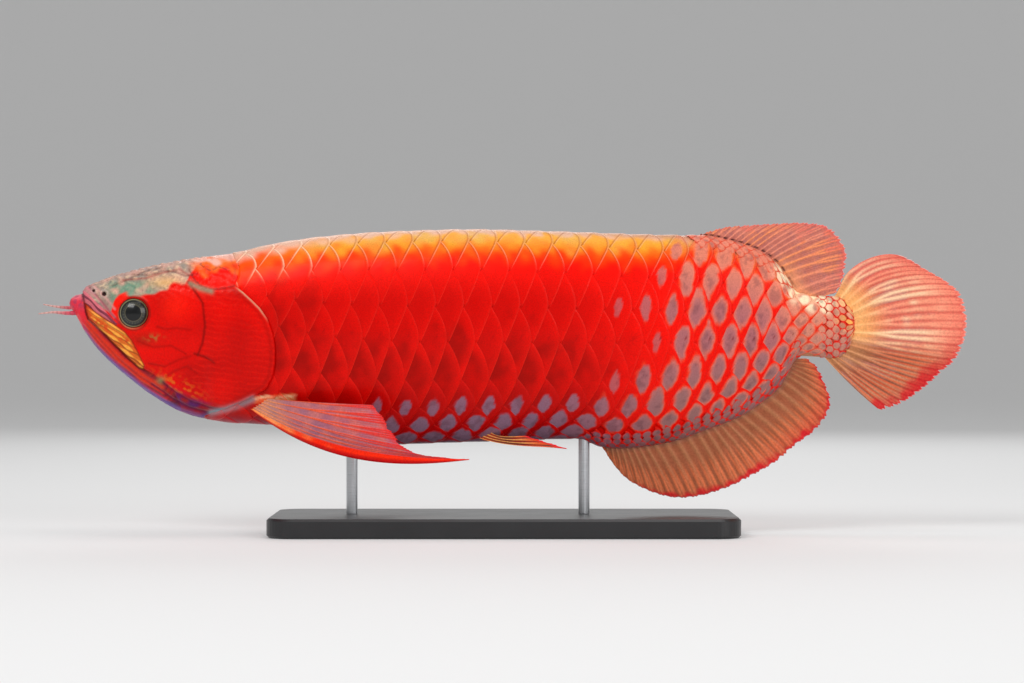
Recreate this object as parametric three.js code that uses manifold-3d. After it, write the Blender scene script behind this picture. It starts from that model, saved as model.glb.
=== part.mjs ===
// A life-size Asian arowana (Scleropages formosus, red form) swimming level, on a plain display stand.
// Units are millimetres. X runs from the snout (-X) to the tail (+X), Y from the fish's left (-Y) to its
// right (+Y), and Z is up. The origin is the middle of the base's underside. The fish is 560 mm from the
// snout to the tail's tip, and its body is 133 mm deep.

import * as THREE from "three";
import { mergeVertices } from "three/addons/utils/BufferGeometryUtils.js";
import Module from "manifold-3d";

const wasm = await Module();
wasm.setup();

// Driving sizes
const GAP = 0.3; // between pieces that touch
const OUTSIDE = 300; // past the fish on every side, for cutting blocks
const FIN_GAP = 0.38; // under the roots of the fins on the middle plane
const SNOUT_X = -271.5;
const BODY_END_X = 219; // rear end of the fleshy tail base
const NAPE_X = -169.5;
const STALK_X = 168; // where the tail stalk begins
const SHOULDER_X = -60; // split between the front and the rear of the trunk

const EYE = { x: -228.6, z: 137.3, radius: 10.2, depth: 7, bulge: 3 };
const NOSTRIL = { x: -248.6, z: 149.3, radius: 1.3 };
const PLATE_THICK = 3; // gill cover and maxilla

const SCALE_STEP = 0.7; // height of a scale's free edge over the next scale
const ROWS_UP = [0, 0.27, 0.54, 0.78, 1]; // scale rows from the side line to the back, as shares of the way
const ROWS_DOWN = [0, 0.34, 0.6, 0.77, 0.9, 1]; // and to the belly
const SCALE_ANCHOR_X = 118.1; // where a scale of the side line's row ends

const BASE = { length: 290, width: 112, height: 12, corner: 14, bevel: 1.5 };
const ROD_RADIUS = 3.5;
const ROD_XS = { front: -95, rear: 50 };

// Curves through a few points

// A curve through the points [x, value] that never overshoots between two of them.
function smoothCurve(points) {
  const xs = points.map((p) => p[0]);
  const ys = points.map((p) => p[1]);
  const last = xs.length - 1;
  const slope = xs.slice(1).map((x, i) => (ys[i + 1] - ys[i]) / (x - xs[i]));
  const tangent = xs.map((x, i) => {
    if (i === 0) return slope[0];
    if (i === last) return slope[last - 1];
    const before = slope[i - 1];
    const after = slope[i];
    return before * after <= 0 ? 0 : (2 * before * after) / (before + after);
  });
  return (x) => {
    if (x <= xs[0]) return ys[0];
    if (x >= xs[last]) return ys[last];
    let i = 0;
    while (x > xs[i + 1]) i++;
    const step = xs[i + 1] - xs[i];
    const t = (x - xs[i]) / step;
    const rise = t * t * (3 - 2 * t);
    return (
      ys[i] * (1 - rise) +
      ys[i + 1] * rise +
      step * t * (1 - t) * ((1 - t) * tangent[i] - t * tangent[i + 1])
    );
  };
}

// A curve in the X-Z plane through the points, read by its share of arc length from 0 to 1.
function pathCurve(points) {
  const curve = new THREE.CatmullRomCurve3(
    points.map(([x, z]) => new THREE.Vector3(x, 0, z)),
    false,
    "centripetal",
  );
  return (share) => curve.getPointAt(Math.min(1, Math.max(0, share)));
}

const mix = (a, b, t) => a + (b - a) * t;

function smoothStep(low, high, x) {
  const t = Math.min(1, Math.max(0, (x - low) / (high - low)));
  return t * t * (3 - 2 * t);
}

// The body's outline and sections

const topLine = smoothCurve([
  [SNOUT_X, 144],
  [-270.5, 146.5],
  [-268, 148.3],
  [-263.5, 149.8],
  [-261, 154],
  [-256, 156],
  [-244, 160.3],
  [-227, 165],
  [-201.5, 170.3],
  [-180, 173.3],
  [NAPE_X, 174.7],
  [-141, 181],
  [-113, 185],
  [-74, 188],
  [-20, 189.5],
  [32, 188.2],
  [95, 186.2],
  [122, 185.8],
  [142, 182.5],
  [158, 177],
  [169, 169.5],
  [175.5, 161],
  [180.5, 153.5],
  [186, 149.8],
  [194.5, 148.2],
  [207, 147.8],
  [213, 145.5],
  [217, 140.5],
  [BODY_END_X, 134],
]);

const bottomLine = smoothCurve([
  [SNOUT_X, 143],
  [-270.5, 140.5],
  [-267, 135.5],
  [-261.5, 125.5],
  [-252, 113],
  [-235.5, 98],
  [-219, 85.5],
  [-201, 75.5],
  [-187, 71.5],
  [-170, 69],
  [-149, 68],
  [-109, 60.5],
  [-71, 55.5],
  [-40, 56.5],
  [10, 58],
  [43, 59],
  [53, 57],
  [60, 54.4],
  [70, 53.3],
  [82, 53.8],
  [105, 57.5],
  [125.5, 64.5],
  [146, 72.5],
  [161, 82],
  [172, 91.5],
  [177.5, 100.5],
  [181, 107.5],
  [186, 110.5],
  [196, 110],
  [207, 109.5],
  [213, 112.5],
  [217, 119],
  [BODY_END_X, 127],
]);

const halfWidth = smoothCurve([
  [SNOUT_X, 1.2],
  [-270.5, 4.2],
  [-267, 7.5],
  [-261, 11],
  [-252, 15],
  [-240, 18.6],
  [-225, 22],
  [-200, 26],
  [-170, 28.4],
  [-120, 29.8],
  [-60, 30],
  [0, 29.2],
  [40, 27],
  [90, 22.2],
  [125, 17.6],
  [155, 12.8],
  [180, 9],
  [200, 6],
  [212, 3.8],
  [BODY_END_X, 1.2],
]);

// How high the widest place lies, as a share of the depth
const widestShare = smoothCurve([
  [SNOUT_X, 0.5],
  [-255, 0.52],
  [-220, 0.6],
  [-170, 0.58],
  [-100, 0.55],
  [60, 0.56],
  [180, 0.5],
]);

// Superellipse exponents of the upper and the lower half of a section
const upperPower = smoothCurve([
  [SNOUT_X, 2],
  [-240, 2.9],
  [-190, 2.8],
  [-120, 2.5],
  [60, 2.3],
  [190, 2],
]);

const lowerPower = smoothCurve([
  [SNOUT_X, 2],
  [-250, 2.1],
  [-200, 1.8],
  [-120, 1.9],
  [60, 1.75],
  [190, 2],
]);

// A point of the left half's section at x: share runs from the back (0) to the belly (1), and grow moves
// the surface out.
function sectionPoint(x, share, grow = 0) {
  const top = topLine(x) + grow;
  const bottom = bottomLine(x) - grow;
  const wide = Math.max(0.4, halfWidth(x) + grow);
  const middle = mix(bottom, top, widestShare(x));
  const upper = share < 0.5;
  const angle = (Math.PI / 2) * Math.abs(1 - 2 * share);
  const power = 2 / (upper ? upperPower(x) : lowerPower(x));
  const rise = Math.sin(angle) ** power;
  return new THREE.Vector3(
    x,
    -wide * Math.cos(angle) ** power,
    upper ? mix(middle, top, rise) : mix(middle, bottom, rise),
  );
}

// Half the body's width at (x, z)
function widthAt(x, z, grow = 0) {
  const top = topLine(x) + grow;
  const bottom = bottomLine(x) - grow;
  const middle = mix(bottom, top, widestShare(x));
  const upper = z > middle;
  const reach = upper ? (z - middle) / (top - middle) : (middle - z) / (middle - bottom);
  const power = upper ? upperPower(x) : lowerPower(x);
  return (halfWidth(x) + grow) * Math.max(0, 1 - Math.min(1, reach) ** power) ** (1 / power);
}

// Places on the head and the paired fins were measured in a side view, where what lies nearer looks further
// from the view's middle. This moves such a place to where it lies, at y from the middle plane.
const SIDE_VIEW = { x: 5, z: 119.7, distance: 1778 };

function fromSideView([x, z], y = widthAt(x, z)) {
  const near = y / SIDE_VIEW.distance;
  return [mix(x, SIDE_VIEW.x, near), mix(z, SIDE_VIEW.z, near)];
}

const traced = (outline) => outline.map((place) => fromSideView(place));

// Meshes and solids

// A closed mesh from rings of equal length, with a fan over each end.
function ringMesh(rings) {
  const around = rings[0].length;
  const points = rings.flat();
  const faces = [];
  for (let i = 0; i + 1 < rings.length; i++)
    for (let j = 0; j < around; j++) {
      const a = i * around + j;
      const b = i * around + ((j + 1) % around);
      faces.push(a, a + around, b, b, a + around, b + around);
    }
  const end = (rings.length - 1) * around;
  const middle = (ring) =>
    ring.reduce((sum, p) => sum.add(p), new THREE.Vector3()).divideScalar(around);
  points.push(middle(rings[0]), middle(rings[rings.length - 1]));
  for (let j = 0; j < around; j++) {
    const next = (j + 1) % around;
    faces.push(j, next, points.length - 2);
    faces.push(end + next, end + j, points.length - 1);
  }
  return meshOf(points, faces);
}

// A mesh with its faces turned outwards, whichever way round they came.
function meshOf(points, faces) {
  let volume = 0;
  for (let i = 0; i < faces.length; i += 3) {
    const [a, b, c] = [points[faces[i]], points[faces[i + 1]], points[faces[i + 2]]];
    volume += a.dot(b.clone().cross(c));
  }
  const outward = volume < 0 ? [...faces].reverse() : faces;
  return new THREE.BufferGeometry().setFromPoints(points).setIndex(outward);
}

function solidOf(geometry) {
  const bare = geometry.clone();
  bare.deleteAttribute("normal");
  bare.deleteAttribute("uv");
  const merged = mergeVertices(bare, 1e-4);
  return new wasm.Manifold(
    new wasm.Mesh({
      numProp: 3,
      vertProperties: new Float32Array(merged.attributes.position.array),
      triVerts: new Uint32Array(merged.index.array),
    }),
  );
}

// The largest body of a solid as a mesh
function geometryOf(solid) {
  const largest = solid.decompose().reduce((a, b) => (b.volume() > a.volume() ? b : a));
  const mesh = largest.getMesh();
  const points = [];
  for (let i = 0; i < mesh.vertProperties.length; i += mesh.numProp)
    points.push(new THREE.Vector3(...mesh.vertProperties.subarray(i, i + 3)));
  return meshOf(points, [...mesh.triVerts]);
}

// A wall-to-wall prism along Y over an outline in the X-Z plane, for cutting.
function prism(outline, fromY = -OUTSIDE, toY = OUTSIDE) {
  const shape = new THREE.Shape(outline.map(([x, z]) => new THREE.Vector2(x, z)));
  const block = new THREE.ExtrudeGeometry(shape, { depth: toY - fromY, bevelEnabled: false });
  block.rotateX(Math.PI / 2).translate(0, toY, 0);
  return solidOf(block);
}

// An outline pushed out by a distance.
function widened(outline, distance) {
  const count = outline.length;
  const turn = Math.sign(THREE.ShapeUtils.area(outline.map(([x, y]) => ({ x, y }))));
  return outline.map((p, i) => {
    const before = outline[(i + count - 1) % count];
    const after = outline[(i + 1) % count];
    const a = new THREE.Vector2(p[0] - before[0], p[1] - before[1]).normalize();
    const b = new THREE.Vector2(after[0] - p[0], after[1] - p[1]).normalize();
    const out = new THREE.Vector2((a.y + b.y) * turn, -(a.x + b.x) * turn).normalize();
    const scale = distance / Math.max(0.5, out.dot(new THREE.Vector2(a.y * turn, -a.x * turn)));
    return [p[0] + out.x * scale, p[1] + out.y * scale];
  });
}

// Places along X, crowded towards the first where crowd is over 1.
function places(from, to, steps, crowd = 1) {
  return Array.from({ length: steps + 1 }, (_, i) => mix(from, to, (i / steps) ** crowd));
}

// A smooth loft of the body through sections at xs, grown or shrunk. lift(x, z) raises the skin.
function bodyLoft({ xs, around, grow = 0, lift = () => 0 }) {
  const rings = [];
  for (const x of xs) {
    const ring = [];
    for (let j = 0; j < around; j++) {
      const share = (2 * j) / around;
      const left = share <= 1;
      const p = sectionPoint(x, left ? share : 2 - share, grow);
      const level = Math.max(0.2, Math.abs(p.y) / (halfWidth(x) + grow));
      p.y -= lift(x, p.z) * level;
      if (!left) p.y *= -1;
      ring.push(p);
    }
    rings.push(ring);
  }
  return solidOf(ringMesh(rings));
}

// The head and its plates

// The rear edge of the head, from the nape over the gill cover's margin to the throat
const HEAD_REAR = traced([
  [-172.5, 190],
  [-169.5, 174.5],
  [-165.5, 165.5],
  [-166, 159.5],
  [-168, 154.5],
  [-163, 150.5],
  [-157.5, 145.5],
  [-152.5, 140.5],
  [-148, 134],
  [-144.5, 125],
  [-143, 116],
  [-143, 106],
  [-144.5, 97.5],
  [-148.5, 90],
  [-157.5, 85],
  [-167.5, 80.5],
  [-176, 77],
  [-187, 73.2],
  [-193, 64],
]);
const HEAD_OUTLINE = [[-OUTSIDE, 190], [-OUTSIDE, 64], ...[...HEAD_REAR].reverse()];

const GILL_COVER = [
  ...traced([
    [-189.5, 149],
    [-181, 152.5],
    [-168, 154.5],
  ]),
  ...HEAD_REAR.slice(5, 16).map(([x, z]) => [x + 3, z]),
  ...traced([
    [-176, 80.5],
    [-187, 82],
    [-193.5, 88],
    [-196, 96],
    [-194.5, 107],
    [-190, 113.5],
    [-187.8, 121],
    [-187.3, 131.5],
    [-188.5, 140],
  ]),
];

// The lower jaw, with the lip and the chin that it carries in front
const LOWER_JAW = traced([
  [-280, 149],
  [-263.6, 149.6],
  [-262.6, 145],
  [-261.5, 138],
  [-260, 133.5],
  [-252, 126.3],
  [-244, 118],
  [-235.5, 109.5],
  [-228, 103],
  [-225, 102],
  [-219, 99],
  [-213, 95],
  [-206, 88],
  [-202, 80],
  [-200, 60],
  [-280, 60],
]);

const MAXILLA = traced([
  [-261.6, 143.5],
  [-255, 137.6],
  [-250, 134.2],
  [-244, 130.6],
  [-237.5, 126],
  [-233, 120.5],
  [-229, 113],
  [-225, 104.5],
  [-225.6, 102.6],
  [-228, 103.4],
  [-235.5, 109.9],
  [-244, 118.4],
  [-252, 126.7],
  [-259.7, 133.9],
  [-261, 138.2],
]);

// The gill cover's rear stands proud of the shoulder.
function headLift(x, z) {
  return 1.5 * smoothStep(-189, -180, x) * smoothStep(72, 84, z) * (1 - smoothStep(150, 158, z));
}

// The upper lip and the rim of the eye socket are raised bands.
const BAND_RISE = 0.8;
const UPPER_LIP = traced([
  [-264, 152.6],
  [-260.6, 150],
  [-256, 145.6],
  [-251, 140.8],
  [-247, 136],
  [-241.5, 130.5],
  [-243, 130],
  [-250, 134.2],
  [-255, 137.6],
  [-261.8, 143.5],
  [-263.5, 149],
]);
const SOCKET_RIM = 11.3;
const socketRim = new THREE.Path()
  .absarc(EYE.x, EYE.z, SOCKET_RIM, 0, 2 * Math.PI)
  .getPoints(20)
  .slice(1)
  .map(({ x, y }) => [x, y]);

const PAST_HEAD_X = -130;
const headLoft = { xs: places(SNOUT_X, PAST_HEAD_X, 25, 1.3), around: 36, lift: headLift };
const raisedBands = bodyLoft({ ...headLoft, grow: BAND_RISE })
  .intersect(prism(UPPER_LIP).add(prism(socketRim)));
const headForm = bodyLoft(headLoft).intersect(prism(HEAD_OUTLINE));
const underLoft = { xs: places(-266, PAST_HEAD_X, 14), around: 24 };
const underPlates = bodyLoft({ ...underLoft, grow: -PLATE_THICK });
const underPlatesClear = bodyLoft({ ...underLoft, grow: GAP - PLATE_THICK });

function ellipsoid(x, y, z, rx, ry, rz, detail) {
  const ball = new THREE.SphereGeometry(1, detail, detail / 2);
  ball.rotateX(Math.PI / 2).scale(rx, ry, rz).translate(x, y, z);
  return solidOf(ball);
}

const eyeY = widthAt(EYE.x, EYE.z) + EYE.bulge - EYE.depth;

function eyeball(side, grow = 0) {
  const r = EYE.radius + grow;
  return ellipsoid(EYE.x, side * eyeY, EYE.z, r, EYE.depth + grow, r, 18);
}

// A block from one place along X to another
const stretch = (fromX, toX) => [[fromX, 0], [toX, 0], [toX, OUTSIDE], [fromX, OUTSIDE]];
const headStretch = stretch(-OUTSIDE, 0);
const sideHalf = (side) =>
  side < 0 ? prism(headStretch, -OUTSIDE, -GAP) : prism(headStretch, GAP, OUTSIDE);

const lowerJaw = headForm.intersect(prism(LOWER_JAW));
const gillPocket = prism(widened(GILL_COVER, GAP)).subtract(underPlates);
const mouthPocket = prism(widened(MAXILLA, GAP)).subtract(underPlates);

const bothSides = [-1, 1];
let head = headForm
  .add(raisedBands)
  .subtract(prism(widened(LOWER_JAW, GAP)))
  .subtract(gillPocket)
  .subtract(mouthPocket);
for (const side of bothSides) {
  head = head.subtract(eyeball(side, GAP));
  const nostrilY = side * widthAt(NOSTRIL.x, NOSTRIL.z);
  const r = NOSTRIL.radius;
  head = head.subtract(ellipsoid(NOSTRIL.x, nostrilY, NOSTRIL.z, r, 2, r, 8));
}

function platesOf(outline) {
  const both = headForm.intersect(prism(outline)).subtract(underPlatesClear);
  return bothSides.map((side) => both.intersect(sideHalf(side)));
}

const [gillCoverLeft, gillCoverRight] = platesOf(GILL_COVER);
const [maxillaLeft, maxillaRight] = platesOf(MAXILLA);

// The trunk and its scales

const lateralLine = smoothCurve([
  [-204, 142],
  [-143, 131],
  [-109, 124],
  [-40, 120.3],
  [112, 119.6],
  [154, 119.8],
  [178, 123],
  [190, 126.5],
  [BODY_END_X, 130.5],
]);

// Length of a scale's visible part along its row
const scaleLength = smoothCurve([
  [85, 17.3],
  [112, 15.4],
  [134, 14.4],
  [155, 12.8],
  [173, 11.9],
  [195, 10.3],
  [216, 9],
]);

// Place along X of scale number u, counted from the anchor
const QUARTER = 4;
const aheadXs = [SCALE_ANCHOR_X];
const behindXs = [SCALE_ANCHOR_X];
while (aheadXs.at(-1) > -220) aheadXs.push(aheadXs.at(-1) - scaleLength(aheadXs.at(-1)) / QUARTER);
while (behindXs.at(-1) < 260) behindXs.push(behindXs.at(-1) + scaleLength(behindXs.at(-1)) / QUARTER);
const quarterXs = [...aheadXs.slice(1).reverse(), ...behindXs];

function scaleX(u) {
  const at = u * QUARTER + aheadXs.length - 1;
  const i = Math.min(quarterXs.length - 2, Math.max(0, Math.floor(at)));
  return mix(quarterXs[i], quarterXs[i + 1], at - i);
}

function scaleNumber(x) {
  const i = Math.max(1, quarterXs.findIndex((quarterX) => quarterX > x));
  const t = (x - quarterXs[i - 1]) / (quarterXs[i] - quarterXs[i - 1]);
  return (i - 1 + t - aheadXs.length + 1) / QUARTER;
}

// The way from the side line to row w as a share of the section's length above or below it
function rowShare(w) {
  const table = w < 0 ? ROWS_DOWN : ROWS_UP;
  const at = Math.min(table.length - 1, Math.abs(w));
  const i = Math.min(table.length - 2, Math.floor(at));
  return mix(table[i], table[i + 1], at - i);
}

// The half section at x as points with their running lengths
const SECTION_STEPS = 48;
function sectionArc(x) {
  const points = [];
  const lengths = [];
  for (let j = 0; j <= SECTION_STEPS; j++) {
    const p = sectionPoint(x, j / SECTION_STEPS);
    lengths.push(j === 0 ? 0 : lengths[j - 1] + p.distanceTo(points[j - 1]));
    points.push(p);
  }
  const level = lateralLine(x);
  const below = points.findIndex((p) => p.z < level);
  const t = (points[below - 1].z - level) / (points[below - 1].z - points[below].z);
  return { points, lengths, middle: mix(lengths[below - 1], lengths[below], t) };
}

// The point of the left flank at (x, row w), lifted off along the surface's normal
function flankPoint(arc, w, lift) {
  const { points, lengths, middle } = arc;
  const whole = lengths.at(-1);
  const target = w > 0 ? middle * (1 - rowShare(w)) : mix(middle, whole, rowShare(w));
  const j = Math.min(SECTION_STEPS, Math.max(1, lengths.findIndex((length) => length >= target)));
  const t = (target - lengths[j - 1]) / (lengths[j] - lengths[j - 1]);
  const along = points[j].clone().sub(points[j - 1]).normalize();
  const p = points[j - 1].clone().lerp(points[j], t);
  p.y += lift * along.z;
  p.z -= lift * along.y;
  return p;
}

// How strongly the scales stand out: not at the fins' bases, under the belly and at the tail's end.
function scaleStrength(x, w) {
  const back = smoothStep(3, 3.9, w) * smoothStep(95, 115, x);
  const belly = smoothStep(3.2, 4.4, -w);
  const end = smoothStep(196, 210, x);
  return (1 - back) * (1 - belly) * (1 - end);
}

// How far a scale's round edge lies behind its tip, in scales, halfway to the next row
const EDGE_BACK = 0.25;

const FIRST_X = -204; // well inside the head, which cuts the trunk's front

// One line along the flank at row w: scale edges are pairs of points, high then low.
function scaleLine(w, grow) {
  const between = w % 1 !== 0;
  const lean = 0.1 * Math.max(0, w);
  const line = [];
  const put = (key, x, lift) => {
    const atRim = w === ROWS_UP.length - 1 || w === 1 - ROWS_DOWN.length;
    const p = flankPoint(sectionArc(x), w, grow + lift);
    if (atRim) p.y = 0;
    line.push({ key, p });
  };
  put(-Infinity, FIRST_X, 0);
  const marks = [];
  for (let key = -20; key < 12; key += 0.5) {
    const inRow = Math.abs(key % 1) === Math.abs((between ? key : w / 2) % 1);
    if (inRow) marks.push({ key, x: scaleX(key - (between ? EDGE_BACK : 0) + lean) });
  }
  const nearRim = w >= ROWS_UP.length - 1.5 || w <= 1.5 - ROWS_DOWN.length;
  const bends = nearRim ? places(w > 0 ? 122 : 46, 216, w > 0 ? 36 : 44) : [206, 213];
  marks.push(...bends.map((x) => ({ x })));
  marks.sort((a, b) => a.x - b.x);
  let lastX = FIRST_X;
  for (const { key, x } of marks) {
    if (x < lastX + 1.2 || x > BODY_END_X - 1) continue;
    lastX = x;
    const lift = SCALE_STEP * (between ? 0.7 : 1) * scaleStrength(x, w);
    if (key === undefined || lift < 0.06) put(scaleNumber(x) - lean, x, 0);
    else {
      put(key, x, lift);
      put(key + 0.01, x + 0.15, 0);
    }
  }
  put(Infinity, BODY_END_X, 0);
  return line;
}

// The trunk's whole mesh, sewn from line to line round the body
function trunkSolid(grow = 0) {
  const ws = [];
  for (let w = ROWS_UP.length - 1; w >= 1 - ROWS_DOWN.length; w -= 0.5) ws.push(w);
  const left = ws.map((w) => scaleLine(w, grow));
  const right = left.slice(1, -1).reverse().map((line) =>
    line.map(({ key, p }) => ({ key, p: new THREE.Vector3(p.x, -p.y, p.z) })),
  );
  const lines = [...left, ...right];
  const points = [];
  for (const line of lines)
    for (const spot of line) {
      spot.id = points.length;
      points.push(spot.p);
    }
  const faces = [];
  lines.forEach((a, n) => {
    const b = lines[(n + 1) % lines.length];
    let i = 0;
    let j = 0;
    while (i + 1 < a.length || j + 1 < b.length) {
      const advanceA = j + 1 >= b.length || (i + 1 < a.length && a[i + 1].key <= b[j + 1].key);
      const next = advanceA ? a[i + 1] : b[j + 1];
      faces.push(a[i].id, b[j].id, next.id);
      if (advanceA) i++;
      else j++;
    }
  });
  for (const end of [0, -1]) {
    const ring = lines.map((line) => line.at(end));
    const hub = points.length;
    points.push(ring.reduce((sum, { p }) => sum.add(p), new THREE.Vector3()).divideScalar(ring.length));
    ring.forEach(({ id }, n) => {
      const next = ring[(n + 1) % ring.length].id;
      faces.push(...(end === 0 ? [id, hub, next] : [next, hub, id]));
    });
  }
  return solidOf(meshOf(points, faces));
}

const trunkWhole = trunkSolid().subtract(prism(widened(HEAD_OUTLINE, GAP)));
const trunkClear = trunkSolid(GAP);

const trunkBetween = (fromX, toX) => trunkWhole.intersect(prism(stretch(fromX, toX)));
const trunkFront = trunkBetween(-OUTSIDE, SHOULDER_X - GAP / 2);
const trunkRear = trunkBetween(SHOULDER_X + GAP / 2, STALK_X - GAP / 2);
const tailStalk = trunkBetween(STALK_X + GAP / 2, OUTSIDE);

// Fins

// A closed sheet over a grid of middle points. Both faces are split into the same triangles.
function sheet(columns, rows, middleAt, thickAt, outAt) {
  const points = [];
  for (const face of [-1, 1])
    for (let i = 0; i < columns; i++)
      for (let j = 0; j < rows; j++) {
        const out = outAt(i, j).clone().multiplyScalar((face * thickAt(i, j)) / 2);
        points.push(middleAt(i, j).add(out));
      }
  const at = (face, i, j) => (face * columns + i) * rows + j;
  const faces = [];
  for (let i = 0; i + 1 < columns; i++)
    for (let j = 0; j + 1 < rows; j++) {
      const corners = [[i, j], [i + 1, j], [i + 1, j + 1], [i, j + 1]];
      const [a, b, c, d] = corners.map(([u, v]) => at(0, u, v));
      const [e, f, g, h] = corners.map(([u, v]) => at(1, u, v));
      faces.push(a, b, c, a, c, d, e, g, f, e, h, g);
    }
  const rim = (i, j, u, v) => {
    const [a, b, c, d] = [at(0, i, j), at(0, u, v), at(1, u, v), at(1, i, j)];
    faces.push(a, c, b, a, d, c);
  };
  for (let i = 0; i + 1 < columns; i++) {
    rim(i, 0, i + 1, 0);
    rim(i + 1, rows - 1, i, rows - 1);
  }
  for (let j = 0; j + 1 < rows; j++) {
    rim(columns - 1, j, columns - 1, j + 1);
    rim(0, j + 1, 0, j);
  }
  return meshOf(points, faces);
}

// Rays alternate with the web between them. A ray is a ridge on both faces, and the web stops short of its
// tip.
const RAY_TIP = 0.9; // thickness at a ray's tip
const WEB = 0.6; // thickness of the web
const WEB_SHORT = 1.3; // how far the web's edge lies inside the ray tips
const isRay = (i) => i % 2 === 0;
const finThick = (i, out, rootThick) =>
  isRay(i) ? mix(rootThick, RAY_TIP, out ** 0.8) : mix(0.55 * rootThick, WEB, Math.min(1, 3 * out));

// A fin on the body's middle plane. rootAt and tipAt give a ray's ends at a share of the fin's edge.
function middleFin({ rays, rows, rootAt, tipAt, bow, sway, rootThick }) {
  const columns = 2 * rays - 1;
  const middleAt = (i, j) => {
    const along = i / (columns - 1);
    const root = rootAt(along);
    const tip = tipAt(along);
    const reach = isRay(i) ? 1 : 1 - WEB_SHORT / root.distanceTo(tip);
    const out = (j / (rows - 1)) * (j === rows - 1 ? reach : 1);
    const p = root.clone().lerp(tip, out);
    const across = new THREE.Vector3(tip.z - root.z, 0, root.x - tip.x);
    p.addScaledVector(across, bow(along) * out * (1 - out));
    p.y += sway(along) * out ** 1.6;
    return p;
  };
  const thickAt = (i, j) => finThick(i, j / (rows - 1), rootThick);
  return sheet(columns, rows, middleAt, thickAt, () => new THREE.Vector3(0, 1, 0));
}

// Points along the body's back (side 1) or belly (side -1), lifted off it by the fin's gap
function edgePoints(line, fromX, toX, side, steps = 24) {
  return places(fromX, toX, steps).map((x) => {
    const slope = line(x + 0.5) - line(x - 0.5);
    const off = (side * FIN_GAP) / Math.hypot(1, slope);
    return [x - off * slope, line(x) + off];
  });
}

const dorsalRoot = pathCurve(edgePoints(topLine, 121, 196, 1));
const dorsalTip = pathCurve([
  [122.5, 187],
  [139, 191.3],
  [161, 193],
  [189.5, 194],
  [201.5, 192],
  [208.5, 186.5],
  [214, 175.5],
  [213.3, 165],
  [210.5, 155],
  [207.5, 150],
]);
const dorsalRootShare = smoothCurve([[0, 0], [0.5, 0.42], [0.8, 0.66], [1, 1]]);
const dorsalFin = middleFin({
  rays: 20,
  rows: 4,
  rootAt: (s) => dorsalRoot(dorsalRootShare(s)),
  tipAt: dorsalTip,
  bow: () => 0.12,
  sway: (s) => 2.6 * Math.sin(1.5 * Math.PI * s),
  rootThick: 2.2,
});

const analRoot = pathCurve(edgePoints(bottomLine, 60, 181, -1));
const analTip = pathCurve([
  [62, 53.4],
  [69, 42.5],
  [78, 33],
  [97, 24],
  [112, 22],
  [125.5, 24],
  [142, 29.5],
  [158, 37.5],
  [171.5, 45.5],
  [182.5, 55],
  [193.5, 63],
  [201.5, 72.5],
  [204.5, 82],
  [201, 93],
  [196, 103.5],
  [190, 109],
]);
const analRootShare = smoothCurve([
  [0, 0],
  [0.25, 0.18],
  [0.45, 0.46],
  [0.61, 0.62],
  [0.84, 0.93],
  [1, 1],
]);
const analFin = middleFin({
  rays: 26,
  rows: 4,
  rootAt: (s) => analRoot(analRootShare(s)),
  tipAt: analTip,
  bow: () => -0.1,
  sway: (s) => 2.4 * Math.sin(9 * s + 1),
  rootThick: 2.2,
});

const tailRoot = pathCurve([
  ...edgePoints(topLine, 206, BODY_END_X - 1, 1, 8),
  [BODY_END_X + GAP, 134],
  [BODY_END_X + GAP, 127],
  ...edgePoints(bottomLine, BODY_END_X - 1, 199, -1, 10),
]);
const tailTip = pathCurve([
  [209, 152],
  [213.5, 161],
  [220.5, 167.5],
  [231, 172.5],
  [245, 174],
  [253, 171.5],
  [264, 165],
  [276, 158],
  [285.5, 150],
  [289, 139],
  [289, 127],
  [287, 119],
  [281.5, 108],
  [273.5, 101],
  [266.5, 94],
  [258.5, 87.5],
  [247.5, 80.5],
  [235.5, 76.5],
  [229, 79.5],
  [215, 91.5],
  [207.5, 98.5],
  [201, 105],
]);
const caudalFin = middleFin({
  rays: 17,
  rows: 5,
  rootAt: tailRoot,
  tipAt: tailTip,
  bow: (s) => 0.12 * Math.cos(Math.PI * s),
  sway: (s) => 3 * Math.sin(8 * s),
  rootThick: 2.2,
});

// A paired fin is a fan of rays from a short root on the flank. Its root starts inside the body and is cut
// clear of it. rayAt(share, droop) gives a ray as a function of the share of its length, on the left side.
function pairedFin(side, rays, rows, rayAt, thickAt) {
  const columns = 2 * rays - 1;
  const grid = [];
  for (let i = 0; i < columns; i++) {
    const curve = rayAt(i / (columns - 1), side > 0 ? 1 : 0);
    const reach = isRay(i) ? 1 : 1 - WEB_SHORT / curve(0).distanceTo(curve(1));
    grid.push(Array.from({ length: rows }, (_, j) => curve((j / (rows - 1)) * (j === rows - 1 ? reach : 1))));
  }
  const outAt = (i, j) => {
    const before = grid[Math.max(0, i - 1)][j];
    const after = grid[Math.min(columns - 1, i + 1)][j];
    const inward = grid[i][Math.max(0, j - 1)];
    const outward = grid[i][Math.min(rows - 1, j + 1)];
    return after.clone().sub(before).cross(outward.clone().sub(inward)).normalize();
  };
  const made = sheet(
    columns,
    rows,
    (i, j) => grid[i][j].clone(),
    (i, j) => thickAt(i, j / (rows - 1)),
    outAt,
  );
  if (side > 0) {
    made.scale(1, -1, 1);
    made.setIndex([...made.index.array].reverse());
  }
  return geometryOf(solidOf(made).subtract(trunkClear));
}

const ROOT_DEPTH = 2.5; // how deep a paired fin's rays start under the skin
const onFlank = ([x, z]) => new THREE.Vector3(x, ROOT_DEPTH - widthAt(x, z), z);
const along = ([a, b], share) => [mix(a[0], b[0], share), mix(a[1], b[1], share)];

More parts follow.
